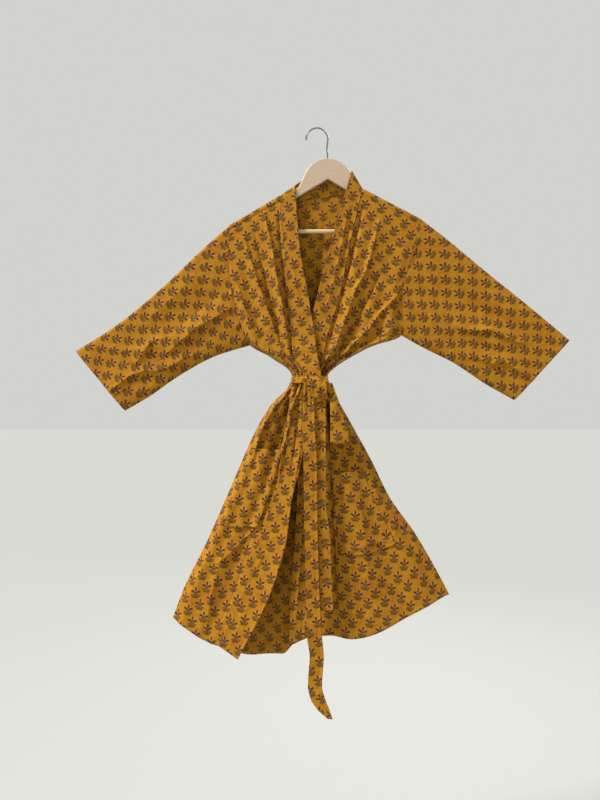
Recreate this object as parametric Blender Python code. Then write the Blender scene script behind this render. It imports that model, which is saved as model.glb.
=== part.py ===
"""Kimono robe on a wooden hanger: the cut pieces as thin walls, tied at the waist by the robe's own belt.

Lengths in the tables are millimetres in the hanging robe's own frame: X to the right seen from the
front, Z up, the front faces -Y. The origin is the inside of the hook, where the hanger hangs.
"""
import math

import bmesh
import bpy
from mathutils import Matrix, Vector

MM = 0.001

# Driving dimensions
WALL = 1.2            # cotton, with the seam allowance taken up in it
BELT_WALL = 1.6       # belt, two layers of the same cotton
SEAM_GAP = 0.45       # between neighbouring pieces
POCKET_GAP = 0.4      # between a patch pocket and the panel under it
HOOK_RADIUS = 25.5    # centreline of the wire's arc
HOOK_START, HOOK_SWEEP = -12.0, 197.0   # degrees of the arc, from its lower end on the right
HOOK_STEPS = 22
WIRE = 4.0            # diameter of the hook's wire
WIRE_SIDES = 8
WOOD = 10.0           # thickness of the hanger's arms
BAR = 10.0            # diameter of the dowel bar
UNDERARM = 310.0      # how far below the shoulder the armhole ends
NECK_LEFT = 0.261     # where the neck seam starts along the top of the back
NECK_RIGHT = 0.692    # and where it ends
NECK_DIP = 9.5        # the back neck's drop between the shoulder ends
OVER_SAG = 13.0       # how far the over front's hem hangs below a straight line
UNDER_SAG = 40.0      # and the under front's

# Rows of cloth that every body panel shares, measured down the grain from the shoulder
DOWN = (0, 5, 14, 60, 115, 170, 230, 280, 302, 310, 350, 385, 420, 446,
        475, 510, 555, 600, 650, 722, 790, 850, 920, 990, 1060)

# The wearer's right front, which laps over: side seam, band seam and the band's free edge
OVER_FRONT = (
    # down, side x, side z, seam x, seam z, edge x, edge z
    (0, -204, -226, -87, -157, -52, -134),
    (105, -207, -320, -77, -276, -41, -277),
    (230, -186, -437, -65, -405, -19, -405),
    (310, -157, -508, -60, -493, -5, -494),
    (360, -110, -536, -55, -533, 0, -536),
    (420, -59, -580, -33, -577, 8, -582),
    (446, -66, -604, -35, -607, 3, -609),
    (495, -114, -649, -47, -648, -13, -648),
    (555, -143, -707, -63, -706, -26, -706),
    (635, -175, -778, -77, -786, -38, -786),
    (722, -212, -865, -100, -862, -58, -862),
    (830, -257, -966, -136, -965, -77, -958),
    (950, -314, -1083, -166, -1072, -112, -1075),
    (1060, -338, -1147, -227, -1205, -183, -1233),
)

# The wearer's left front, which laps under
UNDER_FRONT = (
    # down, side x, side z, seam x, seam z, edge x, edge z
    (0, 244, -212, 106, -140, 82, -99),
    (105, 219, -313, 76, -278, 30, -279),
    (230, 197, -414, 51, -399, -3, -405),
    (310, 197, -484, 25, -486, -24, -493),
    (360, 121, -514, 14, -532, -28, -533),
    (420, 24, -583, 0, -580, -31, -579),
    (446, 26, -604, 0, -608, -33, -609),
    (495, 55, -649, 4, -648, -35, -648),
    (555, 88, -707, 6, -706, -40, -706),
    (635, 127, -778, 4, -788, -45, -787),
    (722, 170, -865, 2, -864, -47, -864),
    (830, 228, -947, -3, -962, -52, -962),
    (950, 280, -1036, -10, -1079, -61, -1078),
    (1060, 310, -1093, -19, -1195, -68, -1215),
)

# How far each layer stands from the side seams' plane, and how deep its folds are
OVER_DEPTH = (
    # down, middle of the panel, at the band seam, fold depth
    (0, 0.8, 0.8, 0.0),
    (5, 7.0, 7.0, 0.0),
    (14, 9.0, 9.0, 0.0),
    (105, 12.0, 14.0, 1.5),
    (230, 17.0, 18.0, 3.5),
    (310, 21.0, 22.0, 5.0),
    (360, 26.0, 30.0, 6.0),
    (420, 29.0, 40.0, 5.0),
    (446, 29.0, 40.0, 5.0),
    (495, 29.0, 36.0, 6.5),
    (555, 28.0, 34.0, 7.0),
    (635, 25.0, 32.0, 7.0),
    (722, 22.0, 29.0, 7.0),
    (950, 18.0, 26.0, 6.0),
    (1060, 16.0, 26.0, 5.0),
)
UNDER_DEPTH = (
    # down, middle of the panel, at the band seam, fold depth
    (0, 0.8, 0.8, 0.0),
    (5, 7.0, 7.0, 0.0),
    (14, 9.0, 9.0, 0.0),
    (105, 12.0, 13.0, 1.5),
    (230, 14.0, 14.0, 3.5),
    (310, 13.0, 16.0, 5.0),
    (360, 12.0, 18.0, 5.5),
    (420, 10.0, 18.0, 5.0),
    (446, 10.0, 18.0, 5.0),
    (495, 12.0, 18.0, 6.0),
    (555, 13.0, 18.0, 7.0),
    (722, 14.0, 18.0, 8.0),
    (950, 13.0, 16.0, 7.0),
    (1060, 12.0, 14.0, 6.0),
)
BACK_DEPTH = (
    # down, middle of the panel, fold depth
    (0, 0.8, 0.0),
    (5, 7.0, 0.0),
    (14, 9.0, 0.0),
    (105, 11.0, 1.5),
    (230, 13.0, 3.5),
    (310, 14.0, 5.0),
    (360, 13.0, 5.2),
    (420, 12.5, 5.2),
    (446, 12.5, 5.4),
    (555, 14.0, 7.5),
    (722, 15.0, 8.0),
    (950, 15.0, 7.0),
    (1060, 14.0, 6.0),
)
# The armhole stands open by this much each way; below it the side seam is shut
ARMHOLE_DEPTH = (
    # down, depth
    (0, 0.8),
    (5, 6.5),
    (14, 8.8),
    (60, 9.5),
    (230, 9.5),
    (280, 8.0),
    (302, 4.5),
    (310, 0.8),
    (1060, 0.8),
)

# The back's hem against the level of the fronts' band seams
BACK_HEM = (
    # share across the back, drop
    (0.0, 0),
    (0.26, 26),
    (0.48, 24),
    (0.69, -8),
    (1.0, 0),
)

# Sleeves: the folded top edge and the seamed lower edge, from the armhole to the cuff
RIGHT_SLEEVE = (
    # along, top x, top z, under x, under z, half depth
    (0.0, -204, -226, -157, -508, 9.5),
    (0.25, -273, -287, -240, -534, 9.5),
    (0.5, -362, -372, -329, -583, 9.0),
    (0.75, -470, -461, -392, -627, 8.5),
    (1.0, -566, -522, -451, -662, 8.0),
)
LEFT_SLEEVE = (
    # along, top x, top z, under x, under z, half depth
    (0.0, 244, -212, 197, -484, 9.5),
    (0.25, 302, -257, 248, -513, 9.5),
    (0.5, 397, -336, 320, -549, 9.0),
    (0.75, 500, -419, 396, -599, 8.5),
    (1.0, 592, -496, 463, -637, 8.0),
)
SLEEVE_SECTIONS = 9
SLEEVE_CREASE = 2.2   # height of the creases that run along a sleeve

# Neck stretch of the band: its upper edge behind the hanger
NECK_EDGE = (
    # along, x, depth, z
    (0.0, -52, 0.8, -134),
    (0.12, -44, 8.0, -124),
    (0.3, -26, 10.5, -114),
    (0.5, 10, 11.5, -111),
    (0.7, 44, 11.0, -109),
    (0.88, 73, 8.0, -103),
    (1.0, 82, 0.8, -99),
)

# Belt pieces as strips: left edge, right edge, front-to-back place and height of each section
LONG_TAIL = (
    # z, left x, right x, y
    (-590, -31, -13, -49.3),
    (-637, -33, -8, -50.2),
    (-704, -35, -6, -52.0),
    (-772, -32, -2, -52.0),
    (-862, -31, -1, -50.0),
    (-997, -28, 2, -46.0),
    (-1087, -26, 5, -43.0),
    (-1178, -24, 10, -40.0),
    (-1223, -18, 14, -39.0),
    (-1290, -22, 10, -38.0),
    (-1320, -16, 17, -38.0),
    (-1345, 0, 27, -39.0),
    (-1366, 24, 34, -40.0),
)
SHORT_TAIL = (
    # z, left x, right x, y
    (-590, -10, 19, -47.2),
    (-637, -11, 19, -47.6),
    (-727, -6, 19, -48.0),
    (-863, -4, 19, -46.4),
    (-956, 1, 30, -44.0),
    (-1040, 3, 33, -41.0),
    (-1119, 6, 37, -38.0),
)
LOOP_FRONT = (
    # z, left x, right x, y
    (-598, 14, 33, -49.4),
    (-618, 23, 40, -50.0),
    (-640, 28, 48, -51.0),
    (-690, 29, 60, -51.5),
    (-734, 29, 71, -50.0),
)
LOOP_FOLD = 3.4       # distance between the loop's two layers
KNOT = {"left": -18.0, "right": 23.0, "top": -584.0, "bottom": -634.0, "y": -52.6, "bulge": 7.0}
WRAP = {"top": -585.0, "bottom": -604.0, "left": -64.0, "right": 28.0, "front": -44.9,
        "back": 21.4, "flare": 8.0, "corner": 14.0}

# Patch pockets as cells of their panels: columns and rows of cloth
OVER_POCKET = {"first_column": 3, "last_column": 13, "top": 600, "bottom": 790, "mouth": 7.0}
UNDER_POCKET = {"first_column": 4, "last_column": 14, "top": 650, "bottom": 850, "mouth": 4.0}
OVER_COLUMNS = 15
UNDER_COLUMNS = 18
BACK_ZONES = (9, 15, 11)   # columns of the back's left shoulder, neck and right shoulder
OVER_FOLDS = 3
UNDER_FOLDS = 3
BACK_FOLDS = 7

# Hanger
DOME_X, DOME_Z, DOME_RADIUS = 25.0, -128.0, 58.0
NOTCH_X, NOTCH_Z = 26.0, -119.0
LOWER_SLOPE = 0.594
ARM_CLEARANCE = 6.1   # cloth's shoulder line to the wood under it
LEFT_TIP, RIGHT_TIP = -190.0, 238.0
BAR_Z = -241.0
FOOT = 21.0           # length of each tip that holds the bar
FOOT_DEPTH = 3.0      # wood below the bar
SHOULDER_START = 68.0 # from the dome's middle to where the arms' straight run starts
EDGE_ROUND = 2.4      # rounding of the arms' edges
BAR_GAP = 0.3         # between the bar's ends and the tips

COTTON = ("printed_cotton", (0.66, 0.36, 0.02), 0.85, 0.0)
WOOD_FINISH = ("beech_wood", (0.66, 0.46, 0.27), 0.5, 0.0)
STEEL = ("chromed_steel", (0.62, 0.62, 0.62), 0.2, 1.0)


def smooth_value(table, column, at):
    """Read one column of a table at a place along its first column, without overshoot."""
    places = [row[0] for row in table]
    values = [row[column] for row in table]
    if at <= places[0]:
        return values[0]
    if at >= places[-1]:
        return values[-1]
    cell = max(i for i, place in enumerate(places[:-1]) if place <= at)
    slopes = [(values[i + 1] - values[i]) / (places[i + 1] - places[i]) for i in range(len(values) - 1)]

    def tangent(i):
        if i == 0 or i == len(values) - 1:
            return slopes[0] if i == 0 else slopes[-1]
        before, after = slopes[i - 1], slopes[i]
        return 0.0 if before * after <= 0 else 2 * before * after / (before + after)

    width = places[cell + 1] - places[cell]
    u = (at - places[cell]) / width
    start = (2 * u ** 3 - 3 * u ** 2 + 1) * values[cell] + (u ** 3 - 2 * u ** 2 + u) * width * tangent(cell)
    end = (3 * u ** 2 - 2 * u ** 3) * values[cell + 1] + (u ** 3 - u ** 2) * width * tangent(cell + 1)
    return start + end


def mix(a, b, share):
    return a + (b - a) * share


def plain_material(finish):
    name, colour, roughness, metallic = finish
    material = bpy.data.materials.new(name)
    material.use_nodes = True
    shader = material.node_tree.nodes["Principled BSDF"]
    shader.inputs["Base Color"].default_value = (*colour, 1.0)
    shader.inputs["Roughness"].default_value = roughness
    shader.inputs["Metallic"].default_value = metallic
    return material


def add_object(name, mesh_source, finish):
    mesh = bpy.data.meshes.new(name)
    bmesh.ops.recalc_face_normals(mesh_source, faces=mesh_source.faces)
    mesh_source.to_mesh(mesh)
    mesh_source.free()
    mesh.materials.append(plain_material(finish))
    obj = bpy.data.objects.new(name, mesh)
    bpy.context.scene.collection.objects.link(obj)
    return obj


def grid_normals(grid, ring=False):
    """Unit normals of a grid of points; a ring closes on itself along each row."""
    rows, columns = len(grid), len(grid[0])
    normals = []
    for j in range(rows):
        line = []
        for i in range(columns):
            left = (i - 1) % columns if ring else max(i - 1, 0)
            right = (i + 1) % columns if ring else min(i + 1, columns - 1)
            across = grid[j][right] - grid[j][left]
            along = grid[min(j + 1, rows - 1)][i] - grid[max(j - 1, 0)][i]
            line.append(across.cross(along).normalized())
        normals.append(line)
    return normals


def cloth_wall(name, grid, wall, finish, ring=False, normals=None, lift=0.0):
    """Close a grid of cloth points into a wall: a face grid, extruded through its thickness."""
    normals = normals or grid_normals(grid, ring)
    rows, columns = len(grid), len(grid[0])
    bm = bmesh.new()
    spot = bm.verts.layers.int.new("spot")
    outer, inner = [], []
    for j in range(rows):
        for i in range(columns):
            vert = bm.verts.new((grid[j][i] + normals[j][i] * (lift + wall / 2)) * MM)
            vert[spot] = len(outer)
            outer.append(vert)
            inner.append((grid[j][i] + normals[j][i] * (lift - wall / 2)) * MM)
    for j in range(rows - 1):
        for i in range(columns if ring else columns - 1):
            nxt = (i + 1) % columns
            corners = (j * columns + i, j * columns + nxt, (j + 1) * columns + nxt, (j + 1) * columns + i)
            bm.faces.new([outer[c] for c in corners])
    made = bmesh.ops.extrude_face_region(bm, geom=bm.faces[:], use_keep_orig=True)
    for item in made["geom"]:
        if isinstance(item, bmesh.types.BMVert):
            item.co = inner[item[spot]]
    bmesh.ops.triangulate(bm, faces=bm.faces[:])
    return add_object(name, bm, finish)


def seam_shift(edge, inward, gap):
    """Move a panel's edge point back from the seam line by half the gap."""
    direction = inward - edge
    return edge + direction.normalized() * (gap / 2)


def fold_wave(share, folds, fade):
    """Folds across a panel, uneven in width and depth, that die out at its edges."""
    warped = share + 0.02 * math.sin(2 * math.pi * share + 0.6)
    uneven = 0.8 + 0.2 * math.sin(7.0 * share + 1.0)
    edge = min(1.0, share / fade, (1.0 - share) / fade)
    return -math.cos(2 * math.pi * folds * warped) * uneven * max(edge, 0.0)


def side_round(share, reach):
    """Rise of the cloth from a side seam towards the panel's middle."""
    return math.sin(math.pi / 2 * min(1.0, share / reach))


def hem_nearness(down):
    """Grows from nothing at the hips to one at the hem."""
    return max(0.0, (down - 560) / 500)


def front_point(table, depths, folds, hem_sag, share, down):
    """A point of a front panel: share runs from the side seam to the band seam."""
    x = mix(smooth_value(table, 1, down), smooth_value(table, 3, down), share)
    z = mix(smooth_value(table, 2, down), smooth_value(table, 4, down), share)
    z -= hem_sag * hem_nearness(down) * math.sin(math.pi * share ** 1.4)
    side = smooth_value(ARMHOLE_DEPTH, 1, down)
    middle = smooth_value(depths, 1, down)
    seam = smooth_value(depths, 2, down)
    depth = side + (middle - side) * side_round(share, 0.3)
    depth += (seam - middle) * max(0.0, (share - 0.45) / 0.55) ** 1.5
    depth += smooth_value(depths, 3, down) * fold_wave(share, folds, 0.14)
    return Vector((x, -depth, z))


def band_line(table, depths, down):
    """The front band across one row of cloth, from its seam to its free edge."""
    seam_depth = smooth_value(depths, 2, down)
    edge_depth = seam_depth + 3.0 * min(1.0, down / 60)
    seam = Vector((smooth_value(table, 3, down), -seam_depth, smooth_value(table, 4, down)))
    edge = Vector((smooth_value(table, 5, down), -edge_depth, smooth_value(table, 6, down)))
    return [mix(seam, edge, share) for share in (0.0, 0.33, 0.67, 1.0)]


def front_half(table, depths, folds, hem_sag, columns):
    """Points and outward normals of a front and its band, parted along their common seam."""
    whole = []
    for down in DOWN:
        panel = [front_point(table, depths, folds, hem_sag, i / columns, down) for i in range(columns + 1)]
        if down <= UNDERARM:
            panel[0] = seam_shift(panel[0], panel[1], SEAM_GAP)
        whole.append(panel + band_line(table, depths, down)[1:])
    normals = grid_normals(whole)
    if normals[-1][columns // 2].y > 0:
        normals = [[-normal for normal in line] for line in normals]
    panel = [line[:columns + 1] for line in whole]
    band = [line[columns:] for line in whole]
    for panel_line, band_points in zip(panel, band):
        panel_line[-1] = seam_shift(panel_line[-1], panel_line[-2], SEAM_GAP)
        band_points[0] = seam_shift(band_points[0], band_points[1], SEAM_GAP)
    panel_normals = [line[:columns + 1] for line in normals]
    band_normals = [line[columns:] for line in normals]
    return panel, panel_normals, band, band_normals


def back_shares():
    """Columns of the back, with one at each end of the neck seam."""
    stops = (0.0, NECK_LEFT, NECK_RIGHT, 1.0)
    shares = [0.0]
    for zone, count in enumerate(BACK_ZONES):
        shares += [mix(stops[zone], stops[zone + 1], (i + 1) / count) for i in range(count)]
    return shares


def back_point(share, down):
    """A point of the back: share runs from the right side seam to the left one."""
    x = mix(smooth_value(OVER_FRONT, 1, down), smooth_value(UNDER_FRONT, 1, down), share)
    sides = (smooth_value(OVER_FRONT, 2, down), smooth_value(UNDER_FRONT, 2, down))
    seams = (smooth_value(OVER_FRONT, 4, down), smooth_value(UNDER_FRONT, 4, down))
    centre = mix(seams[0], seams[1], 0.5)
    heights = ((0.0, sides[0]), (NECK_LEFT, seams[0]), (0.476, centre), (NECK_RIGHT, seams[1]), (1.0, sides[1]))
    cell = max(i for i in range(4) if heights[i][0] <= share)
    straight = mix(heights[cell][1], heights[cell + 1][1],
                   (share - heights[cell][0]) / (heights[cell + 1][0] - heights[cell][0]))
    z = mix(straight, smooth_value(heights, 1, share), min(1.0, down / 60))
    across_neck = (share - NECK_LEFT) / (NECK_RIGHT - NECK_LEFT)
    in_neck = 0.0 < across_neck < 1.0
    if in_neck:
        z -= NECK_DIP * 4 * across_neck * (1 - across_neck) * max(0.0, 1 - down / 200)
    z -= smooth_value(BACK_HEM, 1, share) * hem_nearness(down)
    middle = smooth_value(BACK_DEPTH, 1, max(down, 14) if in_neck else down)
    side = smooth_value(ARMHOLE_DEPTH, 1, down)
    reach = min(share, 1 - share)
    depth = side + (middle - side) * side_round(reach, 0.16)
    depth += smooth_value(BACK_DEPTH, 2, down) * fold_wave(share, BACK_FOLDS, 0.12)
    return Vector((x, depth, z))


def back_grid():
    grid = []
    for down in DOWN:
        line = [back_point(share, down) for share in back_shares()]
        if down <= UNDERARM:
            line[0] = seam_shift(line[0], line[1], SEAM_GAP)
            line[-1] = seam_shift(line[-1], line[-2], SEAM_GAP)
        grid.append(line[::-1])
    return grid


def neck_grid(back_top):
    """The band's neck stretch, from the back's top row up to its own edge behind the hanger."""
    first = BACK_ZONES[2]
    last = first + BACK_ZONES[1]
    seam_points = list(reversed(back_top[first:last + 1]))
    grid = []
    for i, seam in enumerate(seam_points):
        along = i / (len(seam_points) - 1)
        edge = Vector([smooth_value(NECK_EDGE, column, along) for column in (1, 2, 3)])
        foot = seam + (edge - seam).normalized() * (SEAM_GAP + WALL / 2)
        if i in (0, len(seam_points) - 1):
            foot.y = edge.y
        grid.append([mix(foot, edge, share) for share in (0.0, 0.5, 1.0)])
    return grid


def sleeve_point(table, panel, across, along, side):
    """A point of a sleeve: across runs from the folded top to the under seam."""
    top = Vector((smooth_value(table, 1, along), 0, smooth_value(table, 2, along)))
    under = Vector((smooth_value(table, 3, along), 0, smooth_value(table, 4, along)))
    first_top = Vector((table[0][1], 0, table[0][2]))
    first_under = Vector((table[0][3], 0, table[0][4]))
    down = across * UNDERARM
    armhole = Vector((smooth_value(panel, 1, down), 0, smooth_value(panel, 2, down)))
    bow = (armhole - mix(first_top, first_under, across)) * (1 - along) ** 1.5
    point = mix(top, under, across) + bow
    depth = smooth_value(ARMHOLE_DEPTH, 1, down) * smooth_value(table, 5, along) / table[0][5]
    crease = SLEEVE_CREASE * math.sin(math.pi * along) * math.sin(math.pi * across) ** 2
    crease *= math.sin(2 * math.pi * (2.3 * across + 0.7 * along))
    if across in (0.0, 1.0):
        depth = 0.0
    point.y = side * depth + crease
    return point


def sleeve_grid(table, panel):
    """Rings of a sleeve from the armhole to the cuff, an open flattened tube."""
    downs = [down / UNDERARM for down in DOWN if down <= UNDERARM]
    outward = Vector((table[-1][1] - table[0][1], 0, table[-1][2] - table[0][2])).normalized()
    grid = []
    for k in range(SLEEVE_SECTIONS + 1):
        along = k / SLEEVE_SECTIONS
        front = [sleeve_point(table, panel, across, along, -1) for across in downs]
        back = [sleeve_point(table, panel, across, along, 1) for across in reversed(downs[1:-1])]
        ring = front + back
        if k == 0:
            ring = [point + outward * SEAM_GAP for point in ring]
        grid.append(ring)
    return grid


def strip_grid(table, step=30.0):
    """A flat strip that hangs: sections from its first height to its last."""
    top, bottom = table[0][0], table[-1][0]
    count = max(4, round((top - bottom) / step))
    lookup = [(-row[0], *row[1:]) for row in table]
    heights = sorted({mix(top, bottom, k / count) for k in range(count + 1)}, reverse=True)
    grid = []
    for z in heights:
        left = smooth_value(lookup, 1, -z)
        right = smooth_value(lookup, 2, -z)
        y = smooth_value(lookup, 3, -z)
        grid.append([Vector((mix(left, right, share), y, z)) for share in (0.0, 0.5, 1.0)])
    return grid


def loop_grid():
    """The flat loop: down in front, folded sharply, and up again behind."""
    front = strip_grid(LOOP_FRONT, 34.0)
    fold = [point + Vector((0, LOOP_FOLD / 2, -LOOP_FOLD / 2)) for point in front[-1]]
    behind = [[point + Vector((0, LOOP_FOLD, 0)) for point in line] for line in reversed(front[1:])]
    return front + [fold] + behind


def knot_grid():
    """The knot's cover: a strip that bulges forward over the wrap."""
    grid = []
    steps = 6
    for k in range(steps + 1):
        share = k / steps
        y = KNOT["y"] - KNOT["bulge"] * math.sin(math.pi * share) ** 0.6
        z = mix(KNOT["top"], KNOT["bottom"], share)
        pinch = 2.5 * math.sin(math.pi * share)
        left, right = KNOT["left"] + pinch, KNOT["right"] - pinch
        grid.append([Vector((mix(left, right, across), y, z)) for across in (0.0, 0.33, 0.67, 1.0)])
    return grid


def wrap_grid():
    """The belt round the waist: a rounded ring that widens a little downwards."""
    grid = []
    steps = 6
    rows = ((0.0, 0.0), (0.33, 0.8), (0.67, -0.4), (1.0, 0.3))
    for share, crease in rows:
        flare = WRAP["flare"] * share
        left, right = WRAP["left"] - flare, WRAP["right"]
        front, back = WRAP["front"] - crease * 0.5, WRAP["back"] + crease * 0.5
        corner = WRAP["corner"]
        centres = ((right - corner, back - corner, 0), (left + corner, back - corner, 90),
                   (left + corner, front + corner, 180), (right - corner, front + corner, 270))
        ring = []
        for x, y, start in centres:
            for k in range(steps):
                angle = math.radians(start + 90 * k / (steps - 1))
                ring.append(Vector((x + corner * math.cos(angle), y + corner * math.sin(angle),
                                    mix(WRAP["top"], WRAP["bottom"], share))))
        grid.append(ring)
    return grid


def pocket(name, grid, normals, cells):
    """A patch pocket laid on its panel, sewn at three edges, with a slack mouth."""
    rows = [j for j, down in enumerate(DOWN) if cells["top"] <= down <= cells["bottom"]]
    columns = range(cells["first_column"], cells["last_column"] + 1)
    lift = WALL + POCKET_GAP
    patch, patch_normals = [], []
    for j in rows:
        below = (j - rows[0]) / (rows[-1] - rows[0])
        line = []
        for i in columns:
            across = (i - columns[0]) / (columns[-1] - columns[0])
            slack = cells["mouth"] * math.sin(math.pi * across) * (1 - below) ** 2
            line.append(grid[j][i] + normals[j][i] * lift + Vector((0, -slack, 0)))
        patch.append(line)
        patch_normals.append([normals[j][i] for i in columns])
    return cloth_wall(name, patch, WALL, COTTON, normals=patch_normals)


def shoulder_height(x):
    """Upper edge of the wooden arms, under the cloth's shoulder lines."""
    left, right = OVER_FRONT[0], UNDER_FRONT[0]
    table = left if x < DOME_X else right
    slope = (table[4] - table[2]) / (table[3] - table[1])
    return table[2] + slope * (x - table[1]) - ARM_CLEARANCE


def hanger_wood():
    """Flat arms cut from board: a domed middle, a notch below it and tips that hold the bar."""
    arc = [Vector((DOME_X + DOME_RADIUS * math.cos(a), 0, DOME_Z + DOME_RADIUS * math.sin(a)))
           for a in (math.radians(20 + 10 * k) for k in range(15))]
    left_foot, right_foot = LEFT_TIP + FOOT, RIGHT_TIP - FOOT
    foot_z = BAR_Z - BAR / 2 - FOOT_DEPTH
    first, last = DOME_X + SHOULDER_START, DOME_X - SHOULDER_START

    def lower(x):
        return NOTCH_Z - LOWER_SLOPE * abs(x - NOTCH_X)

    outline = [(RIGHT_TIP, shoulder_height(RIGHT_TIP)), (first, shoulder_height(first))]
    outline += [(point.x, point.z) for point in arc]
    outline += [(last, shoulder_height(last)), (LEFT_TIP, shoulder_height(LEFT_TIP))]
    outline += [(LEFT_TIP, foot_z), (left_foot, foot_z), (left_foot, lower(left_foot))]
    outline += [(NOTCH_X, NOTCH_Z), (right_foot, lower(right_foot)), (right_foot, foot_z), (RIGHT_TIP, foot_z)]
    bm = bmesh.new()
    face = bm.faces.new([bm.verts.new((x * MM, -WOOD / 2 * MM, z * MM)) for x, z in outline])
    made = bmesh.ops.extrude_face_region(bm, geom=[face], use_keep_orig=True)
    verts = [item for item in made["geom"] if isinstance(item, bmesh.types.BMVert)]
    bmesh.ops.translate(bm, verts=verts, vec=(0, WOOD * MM, 0))
    obj = add_object("hanger_wood", bm, WOOD_FINISH)
    bevel = obj.modifiers.new("rounded edges", "BEVEL")
    bevel.width = EDGE_ROUND * MM
    bevel.segments = 2
    bevel.limit_method = "ANGLE"
    bevel.angle_limit = math.radians(60)
    return obj


def hanger_bar():
    """The dowel bar between the tips."""
    start, end = LEFT_TIP + FOOT + BAR_GAP, RIGHT_TIP - FOOT - BAR_GAP
    bm = bmesh.new()
    bmesh.ops.create_cone(bm, cap_ends=True, segments=16, radius1=BAR / 2 * MM, radius2=BAR / 2 * MM,
                          depth=(end - start) * MM)
    bmesh.ops.rotate(bm, verts=bm.verts, matrix=Matrix.Rotation(math.pi / 2, 3, "Y"))
    bmesh.ops.translate(bm, verts=bm.verts, vec=((start + end) / 2 * MM, 0, BAR_Z * MM))
    return add_object("hanger_bar", bm, WOOD_FINISH)


def hanger_hook():
    """The wire hook: up out of the wood, over in an arc and down to its tip."""
    rise = [Vector((DOME_X, 0, DOME_Z + DOME_RADIUS + 0.5)), Vector((24.5, 0, -58)), Vector((23.0, 0, -48)),
            Vector((24.0, 0, -38))]
    centre = Vector((0, 0, WIRE / 2 - HOOK_RADIUS))
    angles = [math.radians(HOOK_START + HOOK_SWEEP * k / HOOK_STEPS) for k in range(HOOK_STEPS + 1)]
    arc = [centre + HOOK_RADIUS * Vector((math.cos(a), 0, math.sin(a))) for a in angles]
    route = rise + arc
    grid = []
    for k, point in enumerate(route):
        ahead = (route[min(k + 1, len(route) - 1)] - route[max(k - 1, 0)]).normalized()
        sideways = Vector((0, 1, 0)).cross(ahead)
        ring = []
        for n in range(WIRE_SIDES):
            angle = 2 * math.pi * n / WIRE_SIDES
            ring.append(point + (Vector((0, 1, 0)) * math.cos(angle) + sideways * math.sin(angle)) * WIRE / 2)
        grid.append(ring)
    bm = bmesh.new()
    loops = [[bm.verts.new(point * MM) for point in ring] for ring in grid]
    for lower, upper in zip(loops, loops[1:]):
        for n in range(WIRE_SIDES):
            nxt = (n + 1) % WIRE_SIDES
            bm.faces.new((lower[n], lower[nxt], upper[nxt], upper[n]))
    bm.faces.new(loops[0])
    bm.faces.new(loops[-1])
    return add_object("hanger_hook", bm, STEEL)


def make_robe():
    back = back_grid()
    cloth_wall("back", back, WALL, COTTON)
    cloth_wall("band_neck", neck_grid(back[0]), WALL, COTTON)
    over, over_normals, band, band_normals = front_half(
        OVER_FRONT, OVER_DEPTH, OVER_FOLDS, OVER_SAG, OVER_COLUMNS)
    cloth_wall("front_right", over, WALL, COTTON, normals=over_normals)
    cloth_wall("band_right", band, WALL, COTTON, normals=band_normals)
    under, under_normals, band, band_normals = front_half(
        UNDER_FRONT, UNDER_DEPTH, UNDER_FOLDS, UNDER_SAG, UNDER_COLUMNS)
    cloth_wall("front_left", under, WALL, COTTON, normals=under_normals)
    cloth_wall("band_left", band, WALL, COTTON, normals=band_normals)
    cloth_wall("sleeve_right", sleeve_grid(RIGHT_SLEEVE, OVER_FRONT), WALL, COTTON, ring=True)
    cloth_wall("sleeve_left", sleeve_grid(LEFT_SLEEVE, UNDER_FRONT), WALL, COTTON, ring=True)
    pocket("pocket_right", over, over_normals, OVER_POCKET)
    pocket("pocket_left", under, under_normals, UNDER_POCKET)


def make_belt():
    cloth_wall("belt_wrap", wrap_grid(), BELT_WALL, COTTON, ring=True)
    cloth_wall("belt_knot", knot_grid(), BELT_WALL, COTTON)
    cloth_wall("belt_tail_long", strip_grid(LONG_TAIL), BELT_WALL, COTTON)
    cloth_wall("belt_tail_short", strip_grid(SHORT_TAIL), BELT_WALL, COTTON)
    cloth_wall("belt_loop", loop_grid(), BELT_WALL, COTTON)


def make_hanger():
    hanger_wood()
    hanger_bar()
    hanger_hook()


for old in list(bpy.data.objects):
    bpy.data.objects.remove(old)
make_robe()
make_belt()
make_hanger()
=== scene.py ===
# %% [markdown]
# A kimono robe on a wooden hanger. The frame holds the cut pieces as plain walls at their real size.
# Each piece of cloth is made again here as a finer sheet on the same form: a bmesh grid whose points
# are moved by the same drafting rules, then thickened by a Solidify modifier. A cloth simulation could
# drape it, but a hung and tied garment is quicker to steer from its seams, so the folds are drafted.
# %% Load the frame
import math
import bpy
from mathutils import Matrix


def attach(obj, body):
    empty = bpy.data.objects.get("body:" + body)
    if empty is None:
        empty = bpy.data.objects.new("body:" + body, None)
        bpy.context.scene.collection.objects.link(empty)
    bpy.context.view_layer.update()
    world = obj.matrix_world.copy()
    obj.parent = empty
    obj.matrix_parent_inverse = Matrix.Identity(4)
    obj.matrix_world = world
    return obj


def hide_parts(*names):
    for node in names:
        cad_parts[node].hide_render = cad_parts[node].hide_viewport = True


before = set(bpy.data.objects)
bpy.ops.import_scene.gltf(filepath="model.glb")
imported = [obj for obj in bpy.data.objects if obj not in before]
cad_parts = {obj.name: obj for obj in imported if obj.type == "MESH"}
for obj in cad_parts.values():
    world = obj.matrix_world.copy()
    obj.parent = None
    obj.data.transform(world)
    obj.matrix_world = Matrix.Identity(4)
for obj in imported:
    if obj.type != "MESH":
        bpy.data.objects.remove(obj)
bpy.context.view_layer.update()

import bmesh
import bpy
import numpy as np
from mathutils import Matrix, Vector

MM = 0.001
BODY = "root"
COARSE = 1.0
print("frame nodes:", len(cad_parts))

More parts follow.
